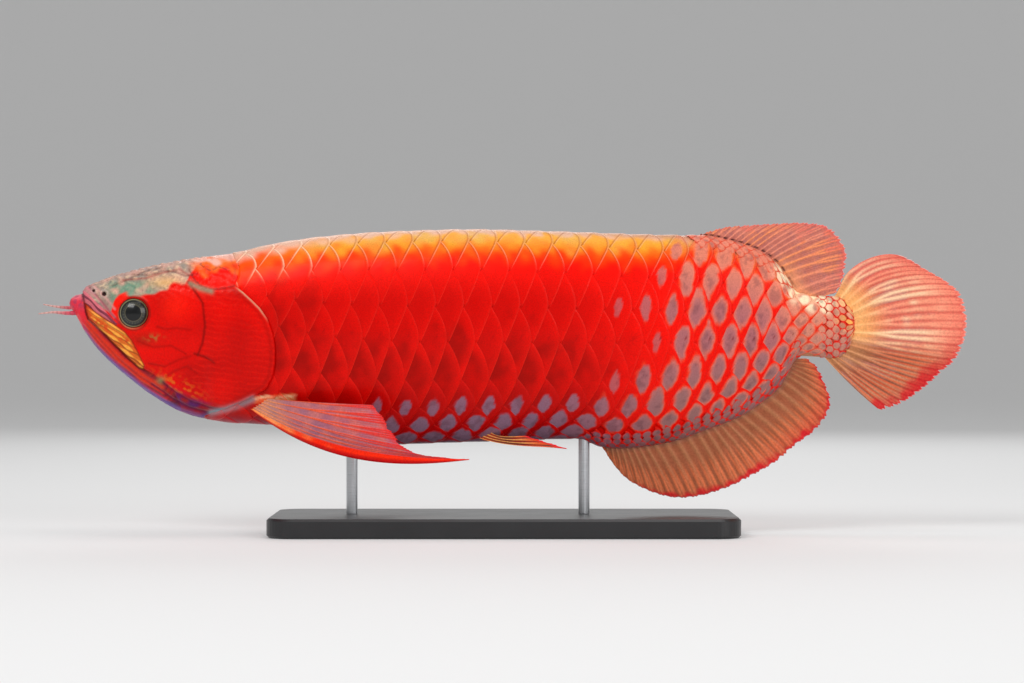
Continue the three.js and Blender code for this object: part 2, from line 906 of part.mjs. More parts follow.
// The pectoral fin: the first ray is long, stout and bowed, and ends in a filament.
const PECTORAL_ROOT = [[-159, 79.5], [-150, 85]];
const pectoralTips = pathCurve([
  [-20, 46],
  [-34, 46.6],
  [-48, 48],
  [-57.5, 51],
  [-64, 55],
  [-67.5, 60],
  [-72, 66],
  [-76, 73],
  [-82, 80],
]);

// The fin on the far side of the view is held a little lower and further forward.
const DROOP = { x: -8, z: -5.4 };

function spread(tip, out, droop) {
  const [x, z] = fromSideView([tip.x, tip.z], out);
  return new THREE.Vector3(x + droop * DROOP.x, -out, z + droop * DROOP.z);
}

function pectoralRay(share, droop) {
  const root = onFlank(along(PECTORAL_ROOT, share));
  const tip = spread(pectoralTips(share ** 0.9), mix(62, 42, share), droop);
  const sag = mix(-0.14, -0.01, share ** 0.4);
  return (s) => {
    const p = root.clone().lerp(tip, s);
    p.z += sag * (tip.x - root.x) * 4 * s * (1 - s) * (1 - 0.35 * s);
    p.y -= 16 * s * (1 - s);
    return p;
  };
}

const pectoralThick = (i, s) => (i === 0 ? mix(3.2, 1.1, s) : finThick(i, s, 1.8));

// The pelvic fin: a narrow blade held out and back from the belly.
const PELVIC_ROOT = [[-17, 60], [-9, 63.5]];
const pelvicTips = pathCurve([
  [40, 52.5],
  [32, 55],
  [22, 58],
  [14, 60.5],
]);

function pelvicRay(share, droop) {
  const root = onFlank(along(PELVIC_ROOT, share));
  const tip = spread(pelvicTips(share), mix(36, 24, share), 0.4 * droop);
  return (s) => {
    const p = root.clone().lerp(tip, s);
    p.z -= 12 * s * (1 - s) * (1 - s);
    p.y -= 14 * s * (1 - s);
    return p;
  };
}

const pelvicThick = (i, s) => (i === 0 ? mix(2.2, 1, s) : finThick(i, s, 1.6));

// Barbels: two short feelers at the tip of the chin

function barbel(side) {
  const level = side < 0 ? 137 : 140.5; // the left one hangs lower
  const curve = new THREE.CatmullRomCurve3([
    new THREE.Vector3(-264, side * 3.4, level + 0.6),
    new THREE.Vector3(-273, side * 5.2, level + 0.3),
    new THREE.Vector3(-281, side * 7, level + 1),
    new THREE.Vector3(-289.3, side * 9, level + (side < 0 ? 0 : 2.5)),
  ]);
  const rings = [];
  const steps = 10;
  for (let i = 0; i <= steps; i++) {
    const s = i / steps;
    const centre = curve.getPointAt(s);
    const radius = mix(1.7, 0.35, s ** 0.8);
    const ring = [];
    for (let j = 0; j < 8; j++) {
      const angle = (Math.PI / 4) * j;
      ring.push(centre.clone().add(new THREE.Vector3(0, radius * Math.cos(angle), radius * Math.sin(angle))));
    }
    rings.push(ring);
  }
  return solidOf(ringMesh(rings));
}

const jawClear = bodyLoft({ xs: places(SNOUT_X - GAP, -250, 12, 1.35), around: 32, grow: GAP });

// The stand

function roundedBase() {
  const { length, width, height, corner, bevel } = BASE;
  const x = length / 2 - bevel;
  const y = width / 2 - bevel;
  const shape = new THREE.Shape()
    .moveTo(-x + corner, -y)
    .lineTo(x - corner, -y)
    .absarc(x - corner, -y + corner, corner, -Math.PI / 2, 0)
    .lineTo(x, y - corner)
    .absarc(x - corner, y - corner, corner, 0, Math.PI / 2)
    .lineTo(-x + corner, y)
    .absarc(-x + corner, y - corner, corner, Math.PI / 2, Math.PI)
    .lineTo(-x, -y + corner)
    .absarc(-x + corner, -y + corner, corner, Math.PI, 1.5 * Math.PI);
  return new THREE.ExtrudeGeometry(shape, {
    depth: height - 2 * bevel,
    bevelThickness: bevel,
    bevelSize: bevel,
    bevelSegments: 1,
    curveSegments: 5,
  }).translate(0, 0, bevel);
}

function rod(x) {
  const foot = BASE.height + GAP;
  const tall = bottomLine(x) + 12 - foot;
  const bar = new THREE.CylinderGeometry(ROD_RADIUS, ROD_RADIUS, tall, 16);
  bar.rotateX(Math.PI / 2).translate(x, 0, foot + tall / 2);
  return solidOf(bar).subtract(trunkClear);
}

// The whole

const RED = 0xd81408;
const finish = {
  skin: { color: RED, roughness: 0.35, metalness: 0 },
  maxilla: { color: 0xd07a24, roughness: 0.35, metalness: 0 },
  fin: { color: 0xc85a3c, roughness: 0.4, metalness: 0 },
  eye: { color: 0x101418, roughness: 0.08, metalness: 0 },
  barbel: { color: 0xc2506a, roughness: 0.4, metalness: 0 },
  base: { color: 0x1c1c1e, roughness: 0.45, metalness: 0 },
  rod: { color: 0xb8bcc0, roughness: 0.3, metalness: 1 },
};

const arowana = new THREE.Group();

function add(name, geometry, look) {
  const mesh = new THREE.Mesh(geometry, new THREE.MeshStandardMaterial(finish[look]));
  mesh.name = name;
  arowana.add(mesh);
}

add("head", geometryOf(head), "skin");
add("lower_jaw", geometryOf(lowerJaw), "skin");
add("maxilla_left", geometryOf(maxillaLeft), "maxilla");
add("maxilla_right", geometryOf(maxillaRight), "maxilla");
add("gill_cover_left", geometryOf(gillCoverLeft), "skin");
add("gill_cover_right", geometryOf(gillCoverRight), "skin");
add("eye_left", geometryOf(eyeball(-1)), "eye");
add("eye_right", geometryOf(eyeball(1)), "eye");
add("barbel_left", geometryOf(barbel(-1).subtract(jawClear)), "barbel");
add("barbel_right", geometryOf(barbel(1).subtract(jawClear)), "barbel");
add("trunk_front", geometryOf(trunkFront), "skin");
add("trunk_rear", geometryOf(trunkRear), "skin");
add("tail_stalk", geometryOf(tailStalk), "skin");
add("dorsal_fin", dorsalFin, "fin");
add("anal_fin", analFin, "fin");
add("caudal_fin", caudalFin, "fin");
add("pectoral_fin_left", pairedFin(-1, 7, 9, pectoralRay, pectoralThick), "fin");
add("pectoral_fin_right", pairedFin(1, 7, 9, pectoralRay, pectoralThick), "fin");
add("pelvic_fin_left", pairedFin(-1, 6, 5, pelvicRay, pelvicThick), "fin");
add("pelvic_fin_right", pairedFin(1, 6, 5, pelvicRay, pelvicThick), "fin");
add("stand_base", roundedBase(), "base");
add("stand_rod_front", geometryOf(rod(ROD_XS.front)), "rod");
add("stand_rod_rear", geometryOf(rod(ROD_XS.rear)), "rod");

export default arowana;
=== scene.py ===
"""The looks of a life-size red Asian arowana on a display stand. Lengths are millimetres until a mesh is
made. X runs from the snout (-X) to the tail (+X), the fish's left side faces -Y, and Z is up."""

import math

import bpy
import numpy as np
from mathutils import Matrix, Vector


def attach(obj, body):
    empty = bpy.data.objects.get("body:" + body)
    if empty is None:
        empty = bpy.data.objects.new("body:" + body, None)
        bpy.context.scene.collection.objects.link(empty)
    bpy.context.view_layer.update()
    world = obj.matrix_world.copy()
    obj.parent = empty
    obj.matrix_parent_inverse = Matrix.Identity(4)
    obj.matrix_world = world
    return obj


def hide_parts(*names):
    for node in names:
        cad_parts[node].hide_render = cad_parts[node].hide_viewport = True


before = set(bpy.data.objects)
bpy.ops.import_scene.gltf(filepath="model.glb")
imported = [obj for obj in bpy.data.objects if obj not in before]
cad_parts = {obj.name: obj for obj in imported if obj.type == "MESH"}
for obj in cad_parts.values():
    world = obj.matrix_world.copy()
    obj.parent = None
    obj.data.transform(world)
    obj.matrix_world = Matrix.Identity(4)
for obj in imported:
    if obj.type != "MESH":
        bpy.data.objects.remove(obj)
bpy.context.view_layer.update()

MM = 0.001


# Curves


def smooth_curve(points):
    """A curve through [x, value] points that never overshoots between two of them."""
    xs, ys = np.array(points, float).T
    slope = np.diff(ys) / np.diff(xs)
    before, after = slope[:-1], slope[1:]
    same = before * after > 0
    inner = np.where(same, 2 * before * after / np.where(same, before + after, 1), 0)
    tangent = np.concatenate([[slope[0]], inner, [slope[-1]]])

    def at(x):
        x = np.clip(np.asarray(x, float), xs[0], xs[-1])
        i = np.clip(np.searchsorted(xs, x, side="right") - 1, 0, len(slope) - 1)
        gap = xs[i + 1] - xs[i]
        t = (x - xs[i]) / gap
        rise = t * t * (3 - 2 * t)
        bend = gap * t * (1 - t) * ((1 - t) * tangent[i] - t * tangent[i + 1])
        return ys[i] * (1 - rise) + ys[i + 1] * rise + bend

    return at


def path_curve(points, samples=400):
    """A smooth curve through X-Z points, read by its share of arc length."""
    p = np.array(points, float)
    knots = np.concatenate([[0], np.cumsum(np.linalg.norm(np.diff(p, axis=0), axis=1) ** 0.5)])
    ends = [2 * p[0] - p[1], 2 * p[-1] - p[-2]]
    p = np.vstack([ends[0], p, ends[1]])
    knots = np.concatenate([[2 * knots[0] - knots[1]], knots, [2 * knots[-1] - knots[-2]]])
    t = np.linspace(knots[1], knots[-2], samples)
    i = np.clip(np.searchsorted(knots, t, side="right") - 1, 1, len(knots) - 3)
    t0, t1, t2, t3 = (knots[i + k][:, None] for k in (-1, 0, 1, 2))
    p0, p1, p2, p3 = (p[i + k] for k in (-1, 0, 1, 2))
    t = t[:, None]
    a1 = (t1 - t) / (t1 - t0) * p0 + (t - t0) / (t1 - t0) * p1
    a2 = (t2 - t) / (t2 - t1) * p1 + (t - t1) / (t2 - t1) * p2
    a3 = (t3 - t) / (t3 - t2) * p2 + (t - t2) / (t3 - t2) * p3
    b1 = (t2 - t) / (t2 - t0) * a1 + (t - t0) / (t2 - t0) * a2
    b2 = (t3 - t) / (t3 - t1) * a2 + (t - t1) / (t3 - t1) * a3
    line = (t2 - t) / (t2 - t1) * b1 + (t - t1) / (t2 - t1) * b2
    length = np.concatenate([[0], np.cumsum(np.linalg.norm(np.diff(line, axis=0), axis=1))])
    length /= length[-1]

    def at(share):
        share = np.clip(share, 0, 1)
        return np.stack([np.interp(share, length, line[:, 0]), np.interp(share, length, line[:, 1])], -1)

    return at


def mix(a, b, t):
    """The value t of the way from a to b."""
    return a + (b - a) * t


def step(low, high, x):
    """Rises smoothly from 0 at low to 1 at high, and falls where low is the larger."""
    t = np.clip((x - low) / (high - low), 0, 1)
    return t * t * (3 - 2 * t)


def bell(distance, width):
    """1 at no distance, fading to nearly 0 at twice the width."""
    return np.exp(-((distance / width) ** 2))


# The body's outline and sections, as in the solids

SNOUT_X = -271.5
BODY_END_X = 219

top_line = smooth_curve([
    (SNOUT_X, 144), (-270.5, 146.5), (-268, 148.3), (-263.5, 149.8), (-261, 154), (-256, 156),
    (-244, 160.3), (-227, 165), (-201.5, 170.3), (-180, 173.3), (-169.5, 174.7), (-141, 181),
    (-113, 185), (-74, 188), (-20, 189.5), (32, 188.2), (95, 186.2), (122, 185.8), (142, 182.5),
    (158, 177), (169, 169.5), (175.5, 161), (180.5, 153.5), (186, 149.8), (194.5, 148.2),
    (207, 147.8), (213, 145.5), (217, 140.5), (BODY_END_X, 134),
])
bottom_line = smooth_curve([
    (SNOUT_X, 143), (-270.5, 140.5), (-267, 135.5), (-261.5, 125.5), (-252, 113), (-235.5, 98),
    (-219, 85.5), (-201, 75.5), (-187, 71.5), (-170, 69), (-149, 68), (-109, 60.5), (-71, 55.5),
    (-40, 56.5), (10, 58), (43, 59), (53, 57), (60, 54.4), (70, 53.3), (82, 53.8), (105, 57.5),
    (125.5, 64.5), (146, 72.5), (161, 82), (172, 91.5), (177.5, 100.5), (181, 107.5), (186, 110.5),
    (196, 110), (207, 109.5), (213, 112.5), (217, 119), (BODY_END_X, 127),
])
half_width = smooth_curve([
    (SNOUT_X, 1.2), (-270.5, 4.2), (-267, 7.5), (-261, 11), (-252, 15), (-240, 18.6), (-225, 22),
    (-200, 26), (-170, 28.4), (-120, 29.8), (-60, 30), (0, 29.2), (40, 27), (90, 22.2),
    (125, 17.6), (155, 12.8), (180, 9), (200, 6), (212, 3.8), (BODY_END_X, 1.2),
])
widest_share = smooth_curve([
    (SNOUT_X, 0.5), (-255, 0.52), (-220, 0.6), (-170, 0.58), (-100, 0.55), (60, 0.56), (180, 0.5),
])
upper_power = smooth_curve([
    (SNOUT_X, 2), (-240, 2.9), (-190, 2.8), (-120, 2.5), (60, 2.3), (190, 2),
])
lower_power = smooth_curve([
    (SNOUT_X, 2), (-250, 2.1), (-200, 1.8), (-120, 1.9), (60, 1.75), (190, 2),
])
lateral_line = smooth_curve([
    (-204, 142), (-143, 131), (-109, 124), (-40, 120.3), (112, 119.6), (154, 119.8), (178, 123),
    (190, 126.5), (BODY_END_X, 130.5),
])


def section(x, share):
    """A point of the left half's section: share runs from the back (0) to the belly (1)."""
    top = top_line(x)
    bottom = bottom_line(x)
    middle = mix(bottom, top, widest_share(x))
    upper = share < 0.5
    angle = np.clip(np.pi / 2 * np.abs(1 - 2 * share), 0, np.pi / 2)
    power = 2 / np.where(upper, upper_power(x), lower_power(x))
    rise = np.sin(angle) ** power
    y = -half_width(x) * np.abs(np.cos(angle)) ** power
    return y, np.where(upper, mix(middle, top, rise), mix(middle, bottom, rise))


def width_at(x, z):
    """How far the flank stands off the middle plane."""
    top = top_line(x)
    bottom = bottom_line(x)
    middle = mix(bottom, top, widest_share(x))
    upper = z > middle
    reach = np.where(upper, (z - middle) / (top - middle), (middle - z) / (middle - bottom))
    power = np.where(upper, upper_power(x), lower_power(x))
    return half_width(x) * np.maximum(0, 1 - np.clip(reach, 0, 1) ** power) ** (1 / power)


# The head's lines were traced in the side view, where nearer places look further from its middle.
# These are the X and Z of its middle, and the camera's distance.
SIDE_VIEW = (5, 119.7, 1778)


def seen(p):
    """Where places on the body lie in the side view."""
    centre_x, centre_z, distance = SIDE_VIEW
    closer = 1 / (1 - np.abs(p[..., 1]) / distance)
    return centre_x + (p[..., 0] - centre_x) * closer, centre_z + (p[..., 2] - centre_z) * closer


def traced(x, z, y):
    """Where a place of the side view lies at y from the middle plane."""
    near = y / SIDE_VIEW[2]
    return mix(x, SIDE_VIEW[0], near), mix(z, SIDE_VIEW[1], near)


# The flank as a table over places along X and shares of the half section's length
ARC_STEPS = 200
arc_xs = np.concatenate([
    SNOUT_X + 12 * np.linspace(0, 1, 40, endpoint=False) ** 1.6,
    np.arange(SNOUT_X + 12, 205, 0.75),
    BODY_END_X - 14 * np.linspace(1, 0, 40) ** 1.6,
])


def arc_table():
    """For each place along X: the flank's Y and Z, the side line's share and the half section's length."""
    fine = np.linspace(0, 1, 4 * ARC_STEPS + 1)
    ys, zs, middles, lengths = [], [], [], []
    shares = np.linspace(0, 1, ARC_STEPS + 1)
    for x in arc_xs:
        y, z = section(np.full_like(fine, x), fine)
        length = np.concatenate([[0], np.cumsum(np.hypot(np.diff(y), np.diff(z)))])
        lengths.append(length[-1])
        length /= length[-1]
        ys.append(np.interp(shares, length, y))
        zs.append(np.interp(shares, length, z))
        middles.append(np.interp(-lateral_line(x), -z, length))
    return np.array(ys), np.array(zs), np.array(middles), np.array(lengths)


arc_y, arc_z, arc_middle, arc_length = arc_table()


def bilinear(table, x, q):
    """Reads a table at a place along X and a share q of the half section's length."""
    i = np.clip(np.searchsorted(arc_xs, x, side="right") - 1, 0, len(arc_xs) - 2)
    s = np.clip((x - arc_xs[i]) / (arc_xs[i + 1] - arc_xs[i]), 0, 1)
    at = np.clip(q, 0, 1) * ARC_STEPS
    j = np.clip(at.astype(int), 0, ARC_STEPS - 1)
    t = at - j
    low = mix(table[i, j], table[i + 1, j], s)
    high = mix(table[i, j + 1], table[i + 1, j + 1], s)
    return mix(low, high, t)


def flank(x, q):
    """Left flank points. q below 0 or above 1 goes on round the back or the belly."""
    folded = np.where(q < 0, -q, np.where(q > 1, 2 - q, q))
    y = bilinear(arc_y, x, folded)
    z = bilinear(arc_z, x, folded)
    across = np.where((q < 0) | (q > 1), -1, 1)
    return np.stack([np.asarray(x, float) + 0 * y, y * across, z], -1)


def flank_normal(x, q):
    """The direction straight out of the flank."""
    dx, dq = 0.6, 0.004
    along = flank(np.minimum(x + dx, BODY_END_X), q) - flank(np.maximum(x - dx, SNOUT_X), q)
    around = flank(x, q + dq) - flank(x, q - dq)
    n = np.cross(around, along)
    n /= np.maximum(1e-9, np.linalg.norm(n, axis=-1, keepdims=True))
    return n


# The lattice of scales, as in the solids

ROWS_UP = np.array([0, 0.27, 0.54, 0.78, 1])
ROWS_DOWN = np.array([0, 0.33, 0.57, 0.735, 0.87, 1])
SCALE_ANCHOR_X = 118.1
scale_length = smooth_curve([
    (85, 17.3), (112, 15.4), (134, 14.4), (155, 12.8), (173, 11.9), (195, 10.3), (216, 9),
])
QUARTER = 4


def quarter_places():
    """Where each quarter of a scale begins along the body, and which of these places is the anchor."""
    ahead = [SCALE_ANCHOR_X]
    behind = [SCALE_ANCHOR_X]
    while ahead[-1] > -230:
        ahead.append(ahead[-1] - float(scale_length(ahead[-1])) / QUARTER)
    while behind[-1] < 260:
        behind.append(behind[-1] + float(scale_length(behind[-1])) / QUARTER)
    return np.array(ahead[:0:-1] + behind), len(ahead) - 1


quarter_xs, anchor_index = quarter_places()
quarter_us = (np.arange(len(quarter_xs)) - anchor_index) / QUARTER


def scale_x(u):
    """Where scale number u begins along the body."""
    return np.interp(u, quarter_us, quarter_xs)


def row_q(x, w):
    """The half section's share at row w: 0 is the side line, 4 the back and -5 the belly."""
    middle = np.interp(x, arc_xs, arc_middle)
    up = np.interp(w, np.arange(5), ROWS_UP)
    down = np.interp(-w, np.arange(6), ROWS_DOWN)
    past = np.where(w > 4, (w - 4) * (ROWS_UP[4] - ROWS_UP[3]), 0)
    under = np.where(w < -5, (-w - 5) * (ROWS_DOWN[5] - ROWS_DOWN[4]), 0)
    return np.where(w >= 0, middle * (1 - up - past), mix(middle, 1, down + under))


def lean(w):
    """How far the rows above the side line are shifted back, in scales."""
    return 0.1 * np.maximum(0, w)


# The head's lines in the side view

HEAD_REAR = [
    (-172.5, 190), (-169.5, 174.5), (-165.5, 165.5), (-166, 159.5), (-168, 154.5), (-163, 150.5),
    (-157.5, 145.5), (-152.5, 140.5), (-148, 134), (-144.5, 125), (-143, 116), (-143, 106),
    (-144.5, 97.5), (-148.5, 90), (-157.5, 85), (-167.5, 80.5), (-176, 77), (-187, 73.2), (-193, 64),
]
HEAD_OUTLINE = [(-320, 190), (-320, 64)] + HEAD_REAR[::-1]
JAW_EDGE = [
    (-263.6, 149.6), (-262.6, 145), (-261.5, 138), (-260, 133.5), (-252, 126.3), (-244, 118),
    (-235.5, 109.5), (-228, 103), (-225, 102), (-219, 99), (-213, 95), (-206, 88), (-202, 80),
]
LOWER_JAW = [(-280, 149)] + JAW_EDGE + [(-200, 60), (-280, 60)]
MAXILLA = [
    (-261.6, 143.5), (-255, 137.6), (-250, 134.2), (-244, 130.6), (-237.5, 126), (-233, 120.5),
    (-229, 113), (-225, 104.5), (-225.6, 102.6), (-228, 103.4), (-235.5, 109.9), (-244, 118.4),
    (-252, 126.7), (-259.7, 133.9), (-261, 138.2),
]
UPPER_LIP = [
    (-264, 152.6), (-260.6, 150), (-256, 145.6), (-251, 140.8), (-247, 136), (-241.5, 130.5),
    (-243, 130), (-250, 134.2), (-255, 137.6), (-261.8, 143.5), (-263.5, 149),
]
GILL_COVER = [
    (-189.5, 149), (-181, 152.5), (-168, 154.5), (-160, 150.5), (-154.5, 145.5), (-149.5, 140.5),
    (-145, 134), (-141.5, 125), (-140, 116), (-140, 106), (-141.5, 97.5), (-145.5, 90), (-154.5, 85),
    (-164.5, 80.5), (-176, 80.5), (-187, 82), (-193.5, 88), (-196, 96), (-194.5, 107), (-190, 113.5),
    (-187.8, 121), (-187.3, 131.5), (-188.5, 140),
]
EYE = {"x": -228.6, "z": 137.3, "radius": 10.2, "depth": 7, "bulge": 3}
NOSTRILS = [(-250, 149.5, 1.3), (-256.5, 151.5, 0.9)]


def distance_to(path, x, z, closed=False):
    """The distance from each (x, z) to a line of points."""
    points = list(path) + ([path[0]] if closed else [])
    best = np.full(np.shape(x), 1e9)
    for (ax, az), (bx, bz) in zip(points, points[1:]):
        dx, dz = bx - ax, bz - az
        t = np.clip(((x - ax) * dx + (z - az) * dz) / (dx * dx + dz * dz), 0, 1)
        best = np.minimum(best, np.hypot(x - ax - t * dx, z - az - t * dz))
    return best


def inside(outline, x, z):
    """Distance to an outline, positive inside it."""
    crossings = np.zeros(np.shape(x), bool)
    for (ax, az), (bx, bz) in zip(outline, outline[1:] + outline[:1]):
        if az != bz:
            crossings ^= ((az > z) != (bz > z)) & (x < (bx - ax) * (z - az) / (bz - az) + ax)
    return np.where(crossings, 1, -1) * distance_to(outline, x, z, closed=True)


# Colours


def ripples(seed, size, count=14):
    """Smooth noise made of seeded waves about as long as the size."""
    rng = np.random.default_rng(seed)
    direction = rng.normal(size=(count, 3))
    direction /= np.linalg.norm(direction, axis=1, keepdims=True)
    waves = direction * (2 * np.pi / (size * rng.uniform(0.7, 1.6, (count, 1))))
    phase = rng.uniform(0, 2 * np.pi, count)

    def at(p):
        return np.sin(p @ waves.T + phase).sum(-1) / math.sqrt(count / 2)

    return at


blotch = ripples(3, 26)
mottle = ripples(5, 9)
grain = ripples(8, 3.2)
fleck = ripples(13, 1.6)


def srgb(red, green, blue):
    """A colour in bytes as linear light."""
    c = np.array([red, green, blue], float) / 255
    return np.where(c <= 0.04045, c / 12.92, ((c + 0.055) / 1.055) ** 2.4)


def over(base, colour, amount):
    """Lays a colour over another by an amount from 0 to 1. A tuple is a colour in bytes."""
    base, colour = (srgb(*c) if isinstance(c, tuple) else c for c in (base, colour))
    amount = np.clip(amount, 0, 1)[..., None]
    return base * (1 - amount) + colour * amount


HEAD_END_X = -120  # nothing of the head reaches behind this
RED = (250, 6, 0)
DEEP_RED = (172, 4, 4)

# The pale membrane along the gill cover's lower edge
GILL_EDGE = [(-183, 75.2), (-174, 77), (-166, 79.6), (-157, 83.8)]


def flank_colour(p, w):
    """The body's colour without the marks of single scales, with painted highlights and painted shade in
    places.
    """
    x, z = p[..., 0], p[..., 2]
    below_back = top_line(x) - z
    wander = 4 * mottle(p) + 5 * blotch(p)
    front = 1 - step(30, 110, x)
    c = over(RED, (204, 0, 0), 0.9 * step(22, 44, below_back) * front)
    c = over(c, (150, 0, 0), front * 0.7 * bell(z - 107 + wander, 11))
    c = over(c, (172, 0, 0), front * 0.7 * step(98, 84, z))
    # Painted shade on the flank just behind the gill cover's rear edge.
    c = over(c, (150, 0, 0), 0.75 * bell(x + 136 + wander, 13) * bell(z - 128, 26))
    c = over(c, (255, 84, 8), 0.9 * (1 - step(9, 25, below_back + 1.4 * mottle(p))))
    olive = (1 - step(4, 17, below_back + 1.4 * mottle(p))) * step(-160, -100, x)
    c = over(c, (236, 168, 44), 0.9 * olive)
    c = over(c, (196, 176, 92), 0.35 * olive * step(0.2, 1, blotch(p)))
    # A pale strip along the top edge of the back, wider towards the front: a painted highlight.
    front_highlight_width = 5 * (1 - step(-150, -60, x))
    c = over(c, (226, 178, 152), 0.95 * (1 - step(1, 4.4 + front_highlight_width, below_back + mottle(p))))
    crest = (1 - step(2, 11, np.abs(p[..., 1]))) * (z > 150) * step(-170, -150, x)
    c = over(c, (176, 112, 62), 0.85 * crest)
    c = over(c, (214, 128, 108), 0.7 * (1 - step(2, 16, below_back)) * step(104, 124, x))
    belly = step(3.9, 4.9, -w) * (1 - step(50, 75, x)) * step(-140, -110, x)
    c = over(c, (96, 84, 110), 0.8 * belly)
    c = over(c, (120, 8, 56), 0.8 * (1 - step(-150, -124, x)) * (1 - step(68, 76, z)))
    stalk = step(176, 190, x)
    c = over(c, (228, 62, 36), 0.75 * stalk)
    # A cream strip along the top of the tail's base: a painted highlight.
    c = over(c, (255, 236, 190), step(170, 178, x) * (1 - step(4, 9, below_back)) * (1 - step(203, 212, x)))
    c = over(c, (186, 130, 96), step(174, 184, x) * step(19, 26, below_back))
    if np.min(x) < HEAD_END_X:
        plate_z = 84.6 + 0.06 * (x + 142)
        plate = step(-156, -153, x) * (1 - step(-132, -127, x)) * (1 - step(1.7, 2.6, np.abs(z - plate_z)))
        c = over(c, (226, 112, 60), 0.85 * plate)
        # Cream lines along the top of the plate at the pectoral fin's base, and a thinner one lower on its
        # rear part: painted highlights.
        c = over(c, (255, 216, 168), 0.9 * plate * bell(z - plate_z - 0.9 - 0.4 * mottle(p), 0.8))
        c = over(c, (250, 190, 130), 0.7 * plate * bell(z - plate_z + 1.2, 0.5) * step(-146, -138, x))
        c = over(c, (150, 150, 158), 0.8 * bell(distance_to(GILL_EDGE, *seen(p)), 1.9))
    return c


# The colour of the head

PREOPERCLE = [
    (-197.5, 157), (-192.5, 150), (-188.4, 143.8), (-186.9, 129.4), (-188.4, 118.9), (-191.5, 111.2),
]
PREOPERCLE_FOOT = [(-193.5, 112), (-187, 110), (-181.3, 106.5)]
CHEEK_LINES = [
    [(-238, 158), (-224, 159.3), (-214, 162.5), (-203, 165), (-197, 161)],
    [(-217, 129), (-212, 127.4), (-205, 128), (-196, 127)],
    [(-229, 120), (-219, 116), (-208, 117), (-199, 112)],
    [(-222, 106), (-212, 104), (-204, 108), (-196, 110.5)],
    [(-211, 98), (-204, 102), (-198, 104), (-192, 100)],
]
SKULL_LINES = [
    [(-232, 161.8), (-222, 161), (-214, 163.8), (-206, 163.2), (-199, 160.6), (-192, 162)],
    [(-197, 165), (-194, 159), (-190, 154.5), (-183, 152), (-176, 153), (-168, 154.5)],
    [(-245, 154.5), (-236, 158), (-226, 163), (-214, 166)],
    [(-190, 168), (-184, 164), (-178, 166.5), (-172, 164)],
]
BRANCHIAL = [
    [(-213, 94), (-204, 87), (-195, 82), (-184, 78.5), (-172, 76.5), (-160, 78.5)],
    [(-220, 93), (-207, 84), (-197, 78.8), (-186, 75.6), (-174, 74), (-163, 76)],
]
SNOUT_FOLDS = [
    ([(-261, 153.6), (-255, 148), (-249, 141.3), (-243.5, 135)], (222, 132, 140), 0.75),
    ([(-259, 153.8), (-252.7, 146.4), (-246.4, 138.2), (-240.5, 131.5)], (116, 52, 66), 0.6),
    ([(-257.3, 155.4), (-249.6, 148), (-243.3, 140)], (214, 150, 146), 0.6),
]
JAW_STRIPES = [
    [(-262, 134), (-252, 122.5), (-240, 110), (-227, 99.5), (-214, 91)],
    [(-262.5, 131), (-252, 119), (-240, 106.5), (-227, 96), (-213, 87.5)],
    [(-262.5, 128), (-252, 116), (-240, 103.4), (-226, 92.2), (-211, 83.4)],
]
BROW = smooth_curve([
    (-272, 150), (-262, 146), (-252, 140), (-246, 137.5), (-243, 146), (-238, 149.5), (-232, 147),
    (-224, 148.5), (-217.5, 150.2), (-211.3, 152.1), (-206, 156), (-199.8, 155.4), (-195, 163),
    (-190, 168), (-170, 173),
])
SLIT = [(-196, 156), (-190, 153), (-183, 151)]
KNOB = (-214.5, 95.5)


def skull_colour(x, z, low, mid, fine):
    """The top of the skull: pinkish grey, with green over the eye."""
    c = over((206, 160, 140), (150, 140, 128), 0.5 + 0.4 * low)
    c = over(c, (226, 196, 160), 0.6 * step(0.3, 1.4, mid))
    c = over(c, (206, 156, 150), 0.6 * step(160, 166, z - 0.25 * (x + 230)))
    green = (1 - step(154, 160, z)) * step(-252, -243, x) * (1 - step(-225, -214, x))
    c = over(c, (98, 148, 124), 0.9 * green * step(-1.6, 0.2, low))
    c = over(c, (128, 108, 104), 0.7 * bell(x + 249, 5) * bell(z - 142, 6))
    c = over(c, (226, 176, 112), 0.8 * bell(x + 211, 10) * bell(z - 156.5, 4))
    return over(c, (120, 96, 92), 0.4 * step(0.9, 1.7, fine))


def nape_colour(z, low):
    c = over(RED, (252, 112, 40), step(161, 168, z + 2.5 * low))
    # The pale top of the nape carries on the painted highlight along the top edge of the back.
    return over(c, (232, 178, 160), 0.9 * step(167.5, 172, z + 1.5 * low))


def eye_rim(c, p):
    """The bright crescent in front of the eye, and thin rings round it: a dark one, and a pale arc below it
    that is a painted highlight.
    """
    reach = np.hypot(p[..., 0] - EYE["x"], p[..., 2] - EYE["z"])
    turn = np.degrees(np.arctan2(p[..., 2] - EYE["z"], EYE["x"] - p[..., 0]))
    crescent = step(8, 9.3, reach) * (1 - step(13.5, 15, reach)) * step(-38, -24, turn)
    crescent *= 1 - step(60, 78, turn)
    c = over(c, (252, 22, 8), crescent)
    c = over(c, (70, 20, 14), 0.6 * bell(reach - 10.2, 0.8) * (1 - 0.7 * crescent))
    # Painted highlight: a thin pale arc along the lower front of the eye's rim.
    below = step(-140, -60, turn) * (1 - step(-10, 30, turn))
    return over(c, (176, 150, 104), 0.6 * bell(reach - 9.6, 0.5) * below)


